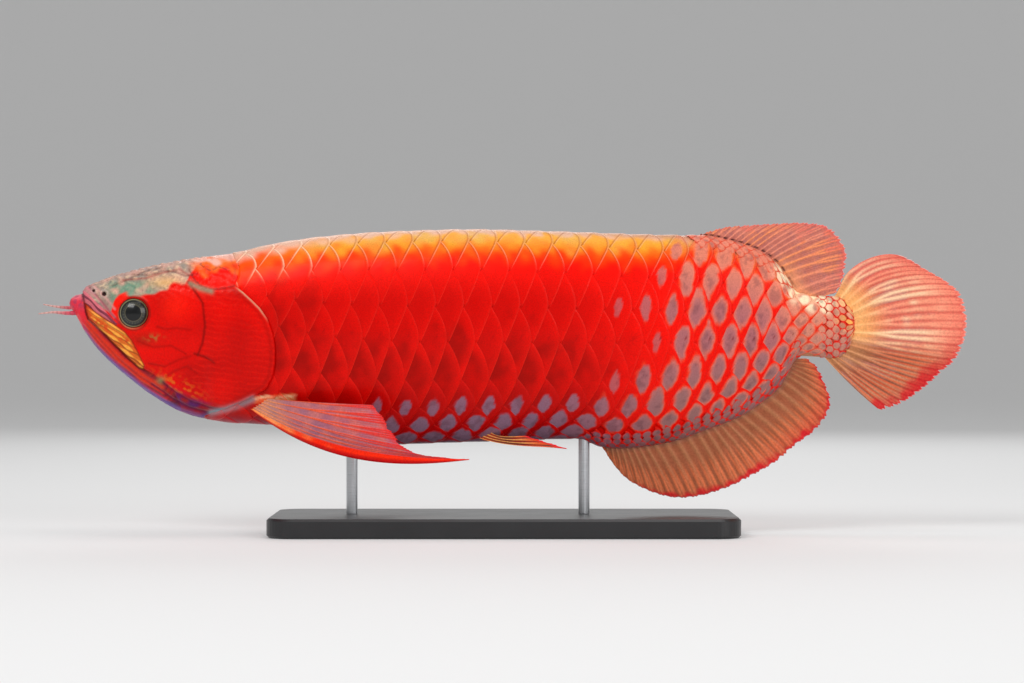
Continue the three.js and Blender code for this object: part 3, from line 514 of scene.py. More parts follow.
def jaw_colour(x, z, low, mid, under, keel, chin):
    """The lower jaw: pink at the tip, then red stripes and violet with a blue edge."""
    c = over((170, 20, 26), (92, 18, 52), 0.5 + 0.4 * low)
    along = (x + 262) * 0.72 - (z - 134) * 0.69
    c = over(c, (70, 12, 40), 0.5 * step(0.3, 0.9, np.sin(2.2 * along + low)))
    for stripe, width in zip(JAW_STRIPES, (1.7, 0.9, 0.8)):
        c = over(c, (236, 54, 24), 0.8 * bell(distance_to(stripe, x, z), width))
    c = over(c, (84, 60, 150), 0.8 * (1 - step(0.6, 4.2, under)) * step(-258, -244, x))
    c = over(c, (150, 56, 100), 0.6 * keel)
    # The chin tip turns paler pink towards its top: a painted highlight.
    tip = over((222, 52, 74), (238, 128, 140), 0.7 * step(144.5, 148, z))
    tip = over(tip, (150, 64, 96), 0.55 * step(0.1, 1.1, mid) * step(139, 143, z))
    tip = over(tip, (236, 30, 40), 0.6 * (1 - step(137, 141, z)))
    return over(c, tip, chin)


def blade_colour(x, z, low, mid):
    """The maxilla: streaks of gold, orange and brown along the blade."""
    off = (x + 262) * 0.55 + (z - 143.5) * 0.83
    c = over((214, 104, 36), (250, 170, 66), step(-0.5, 1, low + 1.2 * np.sin(2.1 * off)))
    c = over(c, (98, 36, 20), 0.55 * step(0.45, 0.95, np.sin(1.9 * off + 0.6 * low)))
    c = over(c, (212, 40, 22), 0.75 * bell(off + 5.2, 1.5) * step(-0.6, 0.6, mid))
    return over(c, (206, 40, 20), 0.8 * (1 - step(-262, -254, x)))


def head_colour(p):
    y = p[..., 1]
    x, z = seen(p)
    low, mid, fine = mottle(p), grain(p), fleck(p)
    cheek = 0.5 + 0.16 * blotch(p) + 0.3 * step(150, 118, z) * step(-212, -196, x)
    c = over(RED, (198, 2, 2), cheek)
    c = over(c, (255, 30, 8), 0.5 * bell(x + 206, 9) * bell(z - 142, 9))
    c = over(c, skull_colour(x, z, low, mid, fine), step(-0.8, 1.6, z - BROW(x) + 0.6 * low))
    c = over(c, nape_colour(z, low), step(-199, -186, x + 0.3 * (z - 160)) * step(152, 157, z))
    c = eye_rim(c, p)
    # Painted shade below the eye.
    c = over(c, (120, 30, 12), 0.55 * bell(x + 225, 9) * bell(z - 121, 5))
    c = over(c, (150, 120, 60), 0.6 * bell(x + 219, 5) * bell(z - 122, 2) * step(0, 1, mid))
    # Snout and lips
    c = over(c, (190, 126, 128), 0.9 * (1 - step(-262, -254, x)) * step(146, 149, z))
    stripes = np.sin(1.9 * (x * 0.66 + z * 0.75) + 0.8 * low)
    lip = over((206, 104, 116), (96, 36, 58), 0.85 * step(0.0, 0.6, stripes))
    c = over(c, lip, step(-0.6, 0.6, inside(UPPER_LIP, x, z)))
    for fold, tint, strength in SNOUT_FOLDS:
        c = over(c, tint, strength * bell(distance_to(fold, x, z), 0.75))
    # Jaws
    under = z - bottom_line(x)
    keel = 1 - step(1, 5, np.abs(y))
    chin = 1 - step(-262, -256, x + 0.3 * (140 - z))
    jaw = step(-0.4, 0.4, inside(LOWER_JAW, x, z))
    c = over(c, jaw_colour(x, z, low, mid, under, keel, chin), jaw)
    c = over(c, blade_colour(x, z, low, mid), step(-0.4, 0.4, inside(MAXILLA, x, z)))
    # Below the cheek: gold flecks, the knob at the jaw's corner, and violet folds down to the throat
    fold = step(0, 7, 96 - z - 0.42 * (x + 214)) * (1 - jaw) * (1 - step(-0.5, 1, inside(GILL_COVER, x, z)))
    c = over(c, over((150, 16, 30), (84, 30, 96), 0.5 + 0.5 * low), fold)
    flecks = bell(z - 93 + 0.45 * (x + 205), 4.5) * bell(x + 203, 12) * step(0.2, 0.9, mid)
    c = over(c, (226, 124, 30), 0.6 * flecks)
    c = over(c, (130, 128, 84), 0.85 * bell(np.hypot(x - KNOB[0], z - KNOB[1]), 2.4))
    for line in BRANCHIAL:
        c = over(c, (60, 14, 60), 0.6 * bell(distance_to(line, x, z), 0.8))
    under_edge = (1 - step(0.6, 4, under)) * (1 - step(-190, -182, x))
    c = over(c, (92, 70, 160), 0.6 * under_edge * (1 - chin) * (1 - 0.6 * keel))
    c = over(c, (136, 162, 170), 0.9 * bell(distance_to(GILL_EDGE, x, z), 2))
    # Fine dark lines
    for line in (PREOPERCLE, PREOPERCLE_FOOT):
        c = over(c, (120, 0, 0), 0.75 * bell(distance_to(line, x, z), 0.8))
    for line in CHEEK_LINES:
        c = over(c, (150, 0, 0), 0.5 * bell(distance_to(line, x, z), 0.8))
    for line in SKULL_LINES:
        c = over(c, (84, 40, 40), 0.5 * bell(distance_to(line, x, z) + 0.25 * fine, 0.6))
    c = over(c, (132, 134, 108), 0.85 * bell(distance_to(SLIT, x, z), 1.8))
    # The gill cover's fine rays and its darker band
    plate = step(0, 1, inside(GILL_COVER, x, z))
    rays = np.sin(1.7 * z + 0.2 * x + 0.7 * low)
    c = over(c, (255, 34, 16), 0.22 * plate * step(0.3, 1, rays))
    c = over(c, (176, 0, 2), 0.55 * plate * bell(x + 166, 9) * bell(z - 118, 30))
    # Painted shade in the mouth's cleft along the jaw's edge, the seam round the maxilla, nostrils and the
    # head's pale rear rim
    gape_shade = 1 - 0.85 * step(-226, -216, x)
    # Painted shade: a dark line along the lower jaw's edge, fading towards the jaw's corner.
    c = over(c, (60, 10, 20), 0.95 * gape_shade * bell(distance_to(JAW_EDGE, x, z), 0.55))
    c = over(c, (90, 16, 16), 0.6 * bell(np.abs(inside(MAXILLA, x, z)), 0.4))
    for nostril_x, nostril_z, radius in NOSTRILS:
        away = np.hypot(x - nostril_x, z - nostril_z)
        c = over(c, (18, 18, 22), 1 - step(radius * 0.8, radius * 1.3, away))
        c = over(c, (196, 182, 176), 0.35 * bell(away - radius * 1.8, 0.5))
    rim = inside(HEAD_OUTLINE, x, z)
    pale = step(130, 140, z) * (1 - step(151, 155, z)) * step(-172, -166, x)
    c = over(c, (206, 164, 130), 0.9 * pale * bell(rim - 0.2, 0.75))
    # Painted shade just inside the head's rear edge.
    c = over(c, (150, 0, 0), 0.4 * bell(rim - 2.6, 1.3) * step(-178, -166, x))
    # The top seen from above is paler in the middle
    return over(c, (172, 148, 134), 0.5 * (1 - step(2, 9, np.abs(y))) * step(150, 158, z))


def head_relief(p):
    """How far the head's skin stands off the plain loft."""
    x, z = seen(p)
    rise = 1.5 * step(-189, -180, x) * step(72, 84, z) * (1 - step(150, 158, z))
    rim = inside(HEAD_OUTLINE, x, z)
    lift = rise * step(-0.25, 0.55, rim) - 0.5 * bell(rim + 0.9, 0.9) * step(78, 90, z)
    lift -= 0.9 * (1 - 0.8 * step(-226, -216, x)) * bell(distance_to(JAW_EDGE, x, z), 0.8)
    blade = inside(MAXILLA, x, z)
    lift += 0.45 * step(0.2, 1.6, blade) - 0.45 * bell(blade, 0.5)
    lip = inside(UPPER_LIP, x, z)
    lift += 0.8 * step(-0.4, 1.2, lip)
    lift += 0.14 * np.sin(1.9 * (x * 0.66 + z * 0.75)) * step(-0.4, 0.6, lip)
    reach = np.hypot(p[..., 0] - EYE["x"], p[..., 2] - EYE["z"])
    lift += 0.4 * bell(reach - 10.4, 0.9)
    lift -= 3.2 * (1 - step(8.3, 9.5, reach))
    for lines, depth, width in (
        ([PREOPERCLE, PREOPERCLE_FOOT], 0.4, 0.7),
        (CHEEK_LINES, 0.22, 0.6),
        (SKULL_LINES, 0.35, 0.6),
        (BRANCHIAL, 0.5, 0.8),
        (JAW_STRIPES, -0.18, 0.7),
    ):
        for line in lines:
            lift -= depth * bell(distance_to(line, x, z), width)
    lift += 0.9 * bell(np.hypot(x - KNOB[0], z - KNOB[1]), 2.2)
    for nostril_x, nostril_z, radius in NOSTRILS:
        away = np.hypot(x - nostril_x, z - nostril_z)
        lift += 0.45 * bell(away - radius * 1.7, 0.55) - 1.1 * (1 - step(radius * 0.5, radius * 1.2, away))
    crown = step(150, 156, z) * (1 - step(-186, -178, x))
    lift += (0.16 * grain(p) + 0.07 * fleck(p)) * crown
    lift += 0.05 * grain(p)
    return lift


# Meshes


def make_piece(name, points, quads, paint, uv, material, nodes, slot, caps=None, around=0):
    """A mesh from millimetre points, quads and end triangles. Points have a colour and a place in OFBake.

    Where the points are closed rings of "around" places each, the last column of the map ends at its edge.
    """
    caps = np.zeros((0, 3), int) if caps is None else np.asarray(caps)
    corners = np.concatenate([np.ravel(quads), caps.ravel()]).astype(np.int32)
    quad_corners = np.size(quads)
    starts = np.concatenate([np.arange(0, quad_corners, 4), quad_corners + np.arange(0, caps.size, 3)])
    mesh = bpy.data.meshes.new(name)
    mesh.vertices.add(len(points))
    mesh.vertices.foreach_set("co", (np.asarray(points) * MM).astype(np.float32).ravel())
    mesh.loops.add(len(corners))
    mesh.loops.foreach_set("vertex_index", corners)
    mesh.polygons.add(len(starts))
    mesh.polygons.foreach_set("loop_start", starts.astype(np.int32))
    mesh.update(calc_edges=True)
    mesh.polygons.foreach_set("use_smooth", np.full(len(starts), True))
    tint = mesh.color_attributes.new("Paint", "FLOAT_COLOR", "POINT")
    rgba = np.ones((len(points), 4), np.float32)
    rgba[:, :3] = np.clip(paint, 0, 1)
    tint.data.foreach_set("color", rgba.ravel())
    places = np.asarray(uv, np.float32)[corners]
    if around:
        for part, size in ((slice(0, quad_corners), 4), (slice(quad_corners, None), 3)):
            column = (corners[part] % around).reshape(-1, size)
            last = (column[:, :2] == around - 1).any(1) | (column[:, -2:] == around - 1).any(1)
            ends = (column == 0) & last[:, None]
            block = places[part].reshape(-1, size, 2)
            block[ends, 1] = 1
            places[part] = block.reshape(-1, 2)
    layer = mesh.uv_layers.new(name="OFBake")
    layer.data.foreach_set("uv", places.ravel())
    mesh.materials.append(material)
    piece = bpy.data.objects.new(name, mesh)
    bpy.context.scene.collection.objects.link(piece)
    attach(piece, "root")
    if nodes:
        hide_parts(*nodes)
    return piece


def grid_faces(rows, columns, start=0, closed=False):
    """Quads over a grid of points numbered row by row."""
    i, j = np.meshgrid(np.arange(rows - 1), np.arange(columns if closed else columns - 1), indexing="ij")
    a = start + i * columns + j
    b = start + i * columns + (j + 1) % columns
    return np.stack([a, b, b + columns, a + columns], -1).reshape(-1, 4)


def sheet_faces(columns, rows):
    """Faces of a closed sheet: a grid of points, the same grid behind it, and the wall between them."""
    behind = columns * rows
    loop = np.concatenate([
        np.arange(rows), np.arange(1, columns) * rows + rows - 1,
        (columns - 1) * rows + np.arange(rows - 2, -1, -1), np.arange(columns - 2, 0, -1) * rows,
    ])
    following = np.roll(loop, -1)
    wall = np.stack([loop, following, following + behind, loop + behind], -1)[:, ::-1]
    return np.vstack([grid_faces(columns, rows), grid_faces(columns, rows, behind)[:, ::-1], wall])


# Materials


class Look:
    """A material built up from noises in the part's own space."""

    def __init__(self, name):
        self.material = bpy.data.materials.new(name)
        self.material.use_nodes = True
        self.nodes = self.material.node_tree.nodes
        self.links = self.material.node_tree.links
        self.sockets = self.nodes["Principled BSDF"].inputs
        self.place = self.nodes.new("ShaderNodeTexCoord").outputs["Object"]

    def set(self, values):
        """Values that are the same all over the surface."""
        for name, value in values.items():
            self.sockets[name].default_value = value

    def noise(self, scale, detail=2, place=None):
        node = self.nodes.new("ShaderNodeTexNoise")
        node.inputs["Scale"].default_value = scale
        node.inputs["Detail"].default_value = detail
        self.links.new(place or self.place, node.inputs["Vector"])
        return node.outputs["Fac"]

    def spread(self, value, low, high, start=0.0, end=1.0):
        """Turns what runs from start to end into what runs from low to high."""
        node = self.nodes.new("ShaderNodeMapRange")
        for name, number in (("From Min", start), ("From Max", end), ("To Min", low), ("To Max", high)):
            node.inputs[name].default_value = number
        self.links.new(value, node.inputs["Value"])
        return node.outputs["Result"]

    def paint(self, shade):
        """The mesh's own colours, made darker and lighter by a shade."""
        colours = self.nodes.new("ShaderNodeAttribute")
        colours.attribute_name = "Paint"
        scaled = self.nodes.new("ShaderNodeVectorMath")
        scaled.operation = "SCALE"
        self.links.new(colours.outputs["Color"], scaled.inputs[0])
        self.links.new(shade, scaled.inputs["Scale"])
        self.links.new(scaled.outputs["Vector"], self.sockets["Base Color"])

    def two_tones(self, value, dark, light):
        ramp = self.nodes.new("ShaderNodeValToRGB")
        ramp.color_ramp.elements[0].color = (*dark, 1)
        ramp.color_ramp.elements[1].color = (*light, 1)
        self.links.new(value, ramp.inputs["Fac"])
        self.links.new(ramp.outputs["Color"], self.sockets["Base Color"])

    def gloss(self, value, low, high):
        self.links.new(self.spread(value, low, high), self.sockets["Roughness"])

    def bump(self, height, strength, distance):
        node = self.nodes.new("ShaderNodeBump")
        node.inputs["Strength"].default_value = strength
        node.inputs["Distance"].default_value = distance
        self.links.new(height, node.inputs["Height"])
        self.links.new(node.outputs["Normal"], self.sockets["Normal"])


def painted_look(name, roughness, coat, speckle_scale, speckle_dark, bump, bump_scale):
    """The mesh's colours with fine speckles, a rough-and-smooth gloss and a fine bump."""
    look = Look(name)
    look.paint(look.spread(look.noise(speckle_scale, 4), speckle_dark, 1.06, 0.34, 0.62))
    look.gloss(look.noise(260), roughness - 0.08, roughness + 0.1)
    look.bump(look.noise(bump_scale, 3), bump, 0.0004)
    look.set({
        "Specular IOR Level": 0.35,
        "Specular Tint": (1, 0.25, 0.18, 1),
        "Coat Weight": coat,
        "Coat Roughness": 0.12,
    })
    return look.material


skin_look = painted_look("skin", 0.36, 0.05, 900, 0.91, 0.25, 1400)
scale_look = painted_look("scales", 0.36, 0.04, 1300, 0.86, 0.2, 1800)
fin_look = painted_look("fins", 0.42, 0.05, 900, 0.84, 0.25, 1500)
barbel_look = painted_look("barbels", 0.4, 0.3, 1200, 0.85, 0.2, 1800)

# The skin

SKIN_AROUND = 400  # points in each ring
COAT_DEPTH = 0.45  # how far the skin lies inside the solids under the scales


def skin_gap(x):
    """How far apart the skin's rings of points lie: closest at the snout, widest on the trunk."""
    snout = 0.33 * float(step(-271.5, -262, x))
    trunk = float(step(-136, -112, x))
    stalk = 0.5 * float(step(170, 200, x))
    return 0.12 + snout + trunk - stalk


def skin_piece():
    """The skin's points, quads, colours, places in OFBake and end triangles."""
    xs = [SNOUT_X]
    while xs[-1] < BODY_END_X - 0.05:
        xs.append(min(BODY_END_X, xs[-1] + skin_gap(xs[-1])))
    xs = np.array(xs)
    turn = np.arange(SKIN_AROUND) / SKIN_AROUND * 2
    left = turn <= 1
    q = np.where(left, turn, 2 - turn)
    x, q = np.meshgrid(xs, q, indexing="ij")
    p = flank(x, q)
    n = flank_normal(x, np.clip(q, 0.004, 0.996))
    n[..., 1] = np.where((q < 0.002) | (q > 0.998), 0, n[..., 1])
    head = step(-1, 0.5, inside(HEAD_OUTLINE, *seen(p)))
    head_near = x < HEAD_END_X
    relief = np.zeros_like(x)
    relief[head_near] = head_relief(p[head_near])
    relief -= (1 - head) * COAT_DEPTH
    flat = np.minimum(1, np.abs(p[..., 1]) / 1.5 + 0.25)
    ends = np.minimum(1, (x - SNOUT_X) / 3) * np.minimum(1, (BODY_END_X - x) / 4)
    p = p + n * (relief * flat * ends)[..., None]
    middle = np.clip(np.interp(x, arc_xs, arc_middle), 0.05, 0.95)
    w = np.where(q < middle, 4 * (middle - q) / middle, -5 * (q - middle) / (1 - middle))
    side = np.where(left, 1, -1)[None, :]
    p[..., 1] *= side
    colour = flank_colour(p, w)
    near = p[head_near]
    colour[head_near] = over(colour[head_near], head_colour(near), head[head_near])
    count = len(xs)
    points = p.reshape(-1, 3)
    faces = grid_faces(count, SKIN_AROUND, closed=True)
    uv = np.stack(np.meshgrid(np.linspace(0.002, 0.998, count), turn / 2, indexing="ij"), -1)
    for end in (0, count - 1):
        hub = points[end * SKIN_AROUND:(end + 1) * SKIN_AROUND].mean(0)
        points = np.vstack([points, hub])
        at = len(points) - 1
        ring = end * SKIN_AROUND + np.arange(SKIN_AROUND)
        following = np.roll(ring, -1)
        cap = [ring, following] if end else [following, ring]
        faces = np.vstack([faces, np.stack([*cap, np.full_like(ring, at), np.full_like(ring, at)], -1)])
    colour = np.vstack([colour.reshape(-1, 3), colour[0].mean(0), colour[-1].mean(0)])
    uv = np.vstack([uv.reshape(-1, 2), [0, 0.5], [1, 0.5]])
    quads = faces[:-2 * SKIN_AROUND]
    caps = faces[-2 * SKIN_AROUND:, :3]
    return points, quads, colour, uv, caps


FLESH = [
    "head", "lower_jaw", "maxilla_left", "maxilla_right", "gill_cover_left", "gill_cover_right",
    "trunk_front", "trunk_rear", "tail_stalk",
]
points, quads, colour, uv, caps = skin_piece()
make_piece("body_skin", points, quads, colour, uv, skin_look, FLESH, "skin", caps, SKIN_AROUND)

# The scales

SCALE_RISE = 0.5  # the height of a scale's rear edge
SCALE_THICK = 0.3


def edge_back(b):
    """How far a scale's rear edge lies before its tip, in scales, at b rows off its middle."""
    off = np.minimum(1.2, np.abs(b))
    return 0.5 * np.where(b > 0, off ** 1.9, off ** 1.15)


# How large the pale patch on a scale is along each row, from 0 to 1
PATCHES = {
    4: smooth_curve([(110, 0), (130, 0.6)]),
    3: smooth_curve([(94, 0), (104, 0.5), (116, 0.9), (130, 1)]),
    2: smooth_curve([(88, 0), (98, 0.5), (112, 0.9), (125, 1)]),
    1: smooth_curve([(60, 0), (66, 0.12), (82, 0.12), (92, 0.35), (106, 0.7), (120, 1)]),
    0: smooth_curve([(76, 0), (84, 0.15), (98, 0.2), (108, 0.75), (124, 1)]),
    -1: smooth_curve([(56, 0), (62, 0.15), (76, 0.45), (94, 0.8), (112, 1)]),
    -2: smooth_curve([(-92, 0), (-78, 0.45), (16, 0.5), (44, 0.5), (64, 0.75), (86, 0.9), (104, 1)]),
    -3: smooth_curve([(-104, 0), (-88, 0.8), (50, 0.85), (84, 1)]),
    -4: smooth_curve([(-110, 0), (-96, 0.9), (30, 1)]),
    -5: smooth_curve([(-112, 0), (-100, 0.8), (30, 1)]),
}


def patch_colours(p):
    """The patches' grey-violet middle, which turns to orange-tan towards the dorsal fin, with a painted
    highlight along the top of the tail's base.
    """
    x, below_back = p[..., 0], top_line(p[..., 0]) - p[..., 2]
    near_back = (1 - step(10, 52, below_back)) * step(84, 116, x)
    c = over((170, 102, 106), (222, 128, 104), near_back)
    low = step(0.55, 0.85, below_back / (top_line(x) - bottom_line(x)))
    c = over(c, (132, 104, 128), low * (0.9 - 0.6 * step(10, 80, x)))
    c = over(c, (142, 108, 98), 0.6 * low * step(60, 110, x))
    c = over(c, (206, 140, 116), 0.6 * step(172, 190, x))
    # Painted highlight on the patches along the top of the tail's base.
    bright = step(164, 174, x) * (1 - step(200, 212, x)) * (1 - step(5, 12, below_back + 1.5 * mottle(p)))
    c = over(c, (255, 236, 196), 0.9 * bright)
    return over(c, (96, 60, 70), 0.4 * step(0.1, 1.3, mottle(p) + 0.8 * grain(p)))


def scale_paint(p, w, a, b, centre_x, rng):
    """The colour over one scale: a is the way forward from its tip in scales, b the rows off its middle."""
    base = flank_colour(p, w + b)
    tone, turn, grow = rng.uniform(-1, 1, 3)
    x = p[..., 0]
    below_back = top_line(x) - p[..., 2]
    red_part = step(12, 26, below_back)
    high = 1 - red_part
    rear = a - edge_back(b)
    # A band low on the front flank where the painted shade in the scales' creases is strongest and their
    # rear parts are redder.
    crease_shade_band = bell(p[..., 2] - 104, 22) * (1 - step(20, 90, x))
    base = over(base, DEEP_RED, (0.08 + 0.07 * tone) * red_part)
    base = over(base, (255, 16, 8), 0.45 * (1 - step(0.0, 0.5, rear)) * red_part * (0.5 + 0.5 * crease_shade_band))
    # Painted shade where each scale runs in under the rear edge of the one before it.
    base = over(base, (128, 0, 0), (0.06 + 0.32 * crease_shade_band) * step(0.45, 1.05, rear + 0.3 * b) * red_part)
    # A thin light line along each scale's rear edge, strongest on its lower half: a painted highlight.
    line = bell(rear - 0.015, 0.022)
    base = over(base, (255, 60, 40), 0.17 * line * red_part * (0.3 + 0.7 * step(0.1, -0.2, b)))
    # The upper band's pale scale edges are partly that painted highlight and partly the thick pale rims of
    # the nape's scales.
    nape = 1 - step(-130, -84, x)
    pale = np.minimum(1, 0.3 * line + 0.5 * nape * bell(rear, 0.06) * step(-0.9, -0.2, b))
    base = over(base, (250, 218, 184), pale * high)
    # A dark line just inside each scale's rear edge in the upper band: painted shade.
    base = over(base, (148, 62, 20), 0.55 * bell(rear - 0.07, 0.03) * high * (1 - 0.5 * nape))
    size = float(PATCHES[int(w)](centre_x + 5 * tone))
    if size > 0.05:
        back_end = float(step(128, 165, centre_x))
        low_rows = float(step(-2.5, -3.5, w)) * (1 - float(step(60, 90, centre_x)))
        long = mix(0.12, 0.325, size) + 0.09 * back_end + 0.06 * low_rows
        tall = (mix(0.25, 0.6, size) + 0.12 * back_end + 0.06 * low_rows) * (1 + 0.1 * grow)
        drop = -0.14 * (1 - size) if w < 0 else 0.0
        centre = 0.52 - 0.17 * b
        rough = 0.03 + 0.045 * (1 - back_end)
        wobble = 0.06 * np.sin(7 * b + 6 * turn) + rough * (mottle(p) + 0.6 * grain(p))
        along = np.abs(a - centre) / long
        across = np.abs(b - drop) / tall
        away = (along ** 1.8 + across ** 1.8) ** (1 / 1.8) + wobble
        mark = 1 - step(0.84, 1.02, away)
        base = over(base, (240, 84, 48), 0.6 * size * (1 - step(0.98, 1.16, away)) * step(30, 90, x))
        base = over(base, patch_colours(p), min(1.0, 0.45 + size) * mark)
        halo = bell(away - 0.84, 0.15) * mark * step(76, 120, x)
        base = over(base, (236, 122, 100), 0.6 * size * halo)
        net = step(1.02, 1.2, away) * size
        off_back = 0.4 + 0.6 * step(4, 12, below_back)
        base = over(base, (238, 10, 0), 0.8 * net * step(60, 100, x) * off_back)
        base = over(base, (164, 0, 8), 0.6 * net * (1 - step(40, 80, x)))
    if w == 0:
        pore = bell(np.hypot((a - 0.36 - 0.5 * (b - 0.1)) * 1.6, (b - 0.1) * 0.8), 0.06)
        base = over(base, (110, 0, 14), 0.9 * pore * (0.35 + 0.65 * float(step(80, 100, centre_x))))
    return base


def small_paint(p, a, b, field, rng):
    """The colour over a small scale at the base of a fin, with a painted highlight on those near the top of
    the tail's base.
    """
    tone, warm, grow = rng.uniform(-1, 1, 3)
    centre = patch_colours(p)
    if field == "caudal":
        # Painted highlight: yellow and cream on the small scales near the top of the tail's base.
        caudal_top_highlight = step(203, 216, p[..., 0]) * (1 - step(14, 24, top_line(p[..., 0]) - p[..., 2]))
        centre = over(centre, (255, 186, 84), (0.4 + 0.4 * warm) * caudal_top_highlight)
        centre = over(centre, (252, 226, 180), 0.5 * caudal_top_highlight * max(0, tone))
    rim = (222, 26, 14) if field != "dorsal" else (220, 84, 58)
    away = np.hypot((a - 0.52 + 0.1 * b) / (0.4 + 0.04 * grow), b / (0.68 + 0.06 * tone)) + 0.06 * mottle(p)
    return over(rim, centre, 1 - step(0.86, 1.06, away))


class Lattice:
    """The places of the body's main rows of scales."""

    def __init__(self, w, k):
        self.w, self.k = w, k
        self.centre_x = float(scale_x(k - 0.5 + lean(w)))
        self.extra = 0.0
        self.size = 1.0

    def place(self, a, b):
        x = scale_x(self.k + lean(self.w) - a)
        return x, row_q(x, self.w + b)

    def paint(self, p, a, b, rng):
        return scale_paint(p, self.w, a, b, self.centre_x, rng)


class Field:
    """The places of small scales that follow the base of a fin, off the back or the belly by a distance."""

    def __init__(self, name, tip_x, off, long, pitch, extra):
        self.name, self.tip_x, self.off, self.long, self.pitch = name, tip_x, off, long, pitch
        self.extra = extra
        self.size = 0.6

    def place(self, a, b):
        x = np.minimum(self.tip_x - a * self.long, BODY_END_X - 0.2)
        share = (self.off + b * self.pitch) / np.interp(x, arc_xs, arc_length)
        return x, share if self.name == "dorsal" else 1 - share

    def paint(self, p, a, b, rng):
        return small_paint(p, a, b, self.name, rng)


class Stalk(Field):
    """The small scales on the tail's base, in rows of equal height."""

    def place(self, a, b):
        x = np.minimum(self.tip_x - a * self.long, BODY_END_X - 0.2)
        return x, np.clip(self.off + b * self.pitch, 0.0, 1.0) + 0 * x


def main_scales():
    """The body's rows, without the places that the small scales take."""
    found = []
    for w in range(4, -6, -1):
        for k in np.arange(-24, 14) + (w % 2) * 0.5:
            scale = Lattice(float(w), float(k))
            x = scale.centre_x
            past_back = w == 4 and x > 114
            past_belly = (w == -5 and x > 42) or (w == -4 and x > 56)
            if -186 < x < 199 and not past_back and not past_belly:
                found.append(scale)
    return found


def small_scales():
    """The fields at the bases of the anal, dorsal and tail fins."""
    found = []
    rng = np.random.default_rng(5)
    for row, off in enumerate((11.4, 7.6, 3.8, 0.6)):
        for tip_x in np.arange(52 + 3.1 * (row % 2) + (9 if row == 0 else 0), 186, 6.2):
            found.append(Field("anal", tip_x, off, 6.2, 3.9, 0.25 + 0.03 * row))
    for row, off in enumerate((10, 6.4, 2.8)):
        for tip_x in np.arange(120 + 3 * (row % 2) + (6 if row == 0 else 0), 183, 6):
            found.append(Field("dorsal", tip_x, off, 6, 3.7, 0.25 + 0.03 * row))
    for column, tip_x in enumerate(np.arange(201.5, 222, 4.3)):
        for off in (np.arange(8) + 0.5 * (column % 2)) / 8 + 0.03:
            shift, rise = rng.uniform(-1, 1, 2)
            place = tip_x + 0.6 * shift, off + 0.012 * rise
            found.append(Stalk("caudal", *place, 6, 0.085, 0.25 + 0.05 * shift))
    return found


def scales_piece(name, side, scales, across=21, along=17, seed=0):
    """Overlapping plates, each a closed sheet with a place of its own in OFBake."""
    points, faces, colours, uvs = [], [], [], []
    columns = math.ceil(math.sqrt(len(scales)))
    rows = math.ceil(len(scales) / columns)
    b = np.linspace(-1.06, 1.06, across)
    t = np.linspace(0, 1, along) ** 1.25
    reach = 0.5 + edge_back(np.maximum(0, 1 - np.abs(b))) - edge_back(b)
    reach = np.maximum(0.04, reach) + 0.14
    b, t = np.meshgrid(b, t, indexing="ij")
    a = edge_back(b) + t * reach[:, None]
    rear = a - edge_back(b)
    closed = sheet_faces(across, along)
    if side < 0:
        closed = closed[:, ::-1]
    places = np.linspace(0.04, 0.96, across), np.linspace(0.04, 0.86, along)
    s_place, t_place = np.meshgrid(*places, indexing="ij")
    for index, scale in enumerate(scales):
        rng = np.random.default_rng([seed, index])
        x, q = scale.place(a, b)
        p = flank(x, q)
        n = flank_normal(x, q)
        cover = 1 - 0.45 * step(0.93, 1.0, q)
        rise = SCALE_RISE * scale.size * cover * (1 - 0.5 * step(196, 214, x))
        height = rise * (1 - a) + scale.extra - 0.2 * (1 - step(0, 0.05, rear))
        height += 0.1 * scale.size * cover * (1 - b * b) * bell(a - 0.4, 0.4)
        height += 0.03 * rise * np.sin(42 * a + 2 * b * b + index) * step(0.06, 0.2, rear)
        height -= 2.6 * step(-0.5, 2.2, inside(HEAD_OUTLINE, *seen(p)))
        top = p + n * height[..., None]
        bottom = p + n * (height - SCALE_THICK)[..., None]
        colour = np.clip(scale.paint(p, a, b, rng), 0, 1)
        for face in (top, bottom):
            if side > 0:
                face[..., 1] *= -1
        faces.append(closed + 2 * across * along * index)
        points += [top.reshape(-1, 3), bottom.reshape(-1, 3)]
        # The plates' undersides take 0.6 of their tops' colour: painted shade.
        colours += [colour.reshape(-1, 3), (colour * 0.6).reshape(-1, 3)]
        corner = np.array([index % columns, index // columns], float)
        upper = (corner + np.stack([s_place, t_place], -1)) / [columns, rows]
        lower = (corner + np.stack([s_place, 0.9 + 0.06 * t_place], -1)) / [columns, rows]
        uvs += [upper.reshape(-1, 2), lower.reshape(-1, 2)]
    mesh = [np.vstack(part) for part in (points, faces, colours, uvs)]
    return make_piece(name, *mesh, scale_look, (), "skin")


all_scales = main_scales()
little = small_scales()
for side, word in ((-1, "left"), (1, "right")):
    front = [scale for scale in all_scales if scale.w < 4 and scale.k < -9]
    rear = [scale for scale in all_scales if scale.w < 4 and scale.k >= -9]
    scales_piece(f"scales_front_{word}", side, front, seed=7 if side < 0 else 8)
    scales_piece(f"scales_rear_{word}", side, rear, seed=9 if side < 0 else 10)
    scales_piece(f"scales_small_{word}", side, little, across=11, along=9, seed=11 if side < 0 else 12)
scales_piece("scales_back", -1, [scale for scale in all_scales if scale.w == 4], seed=13)

# Eyes


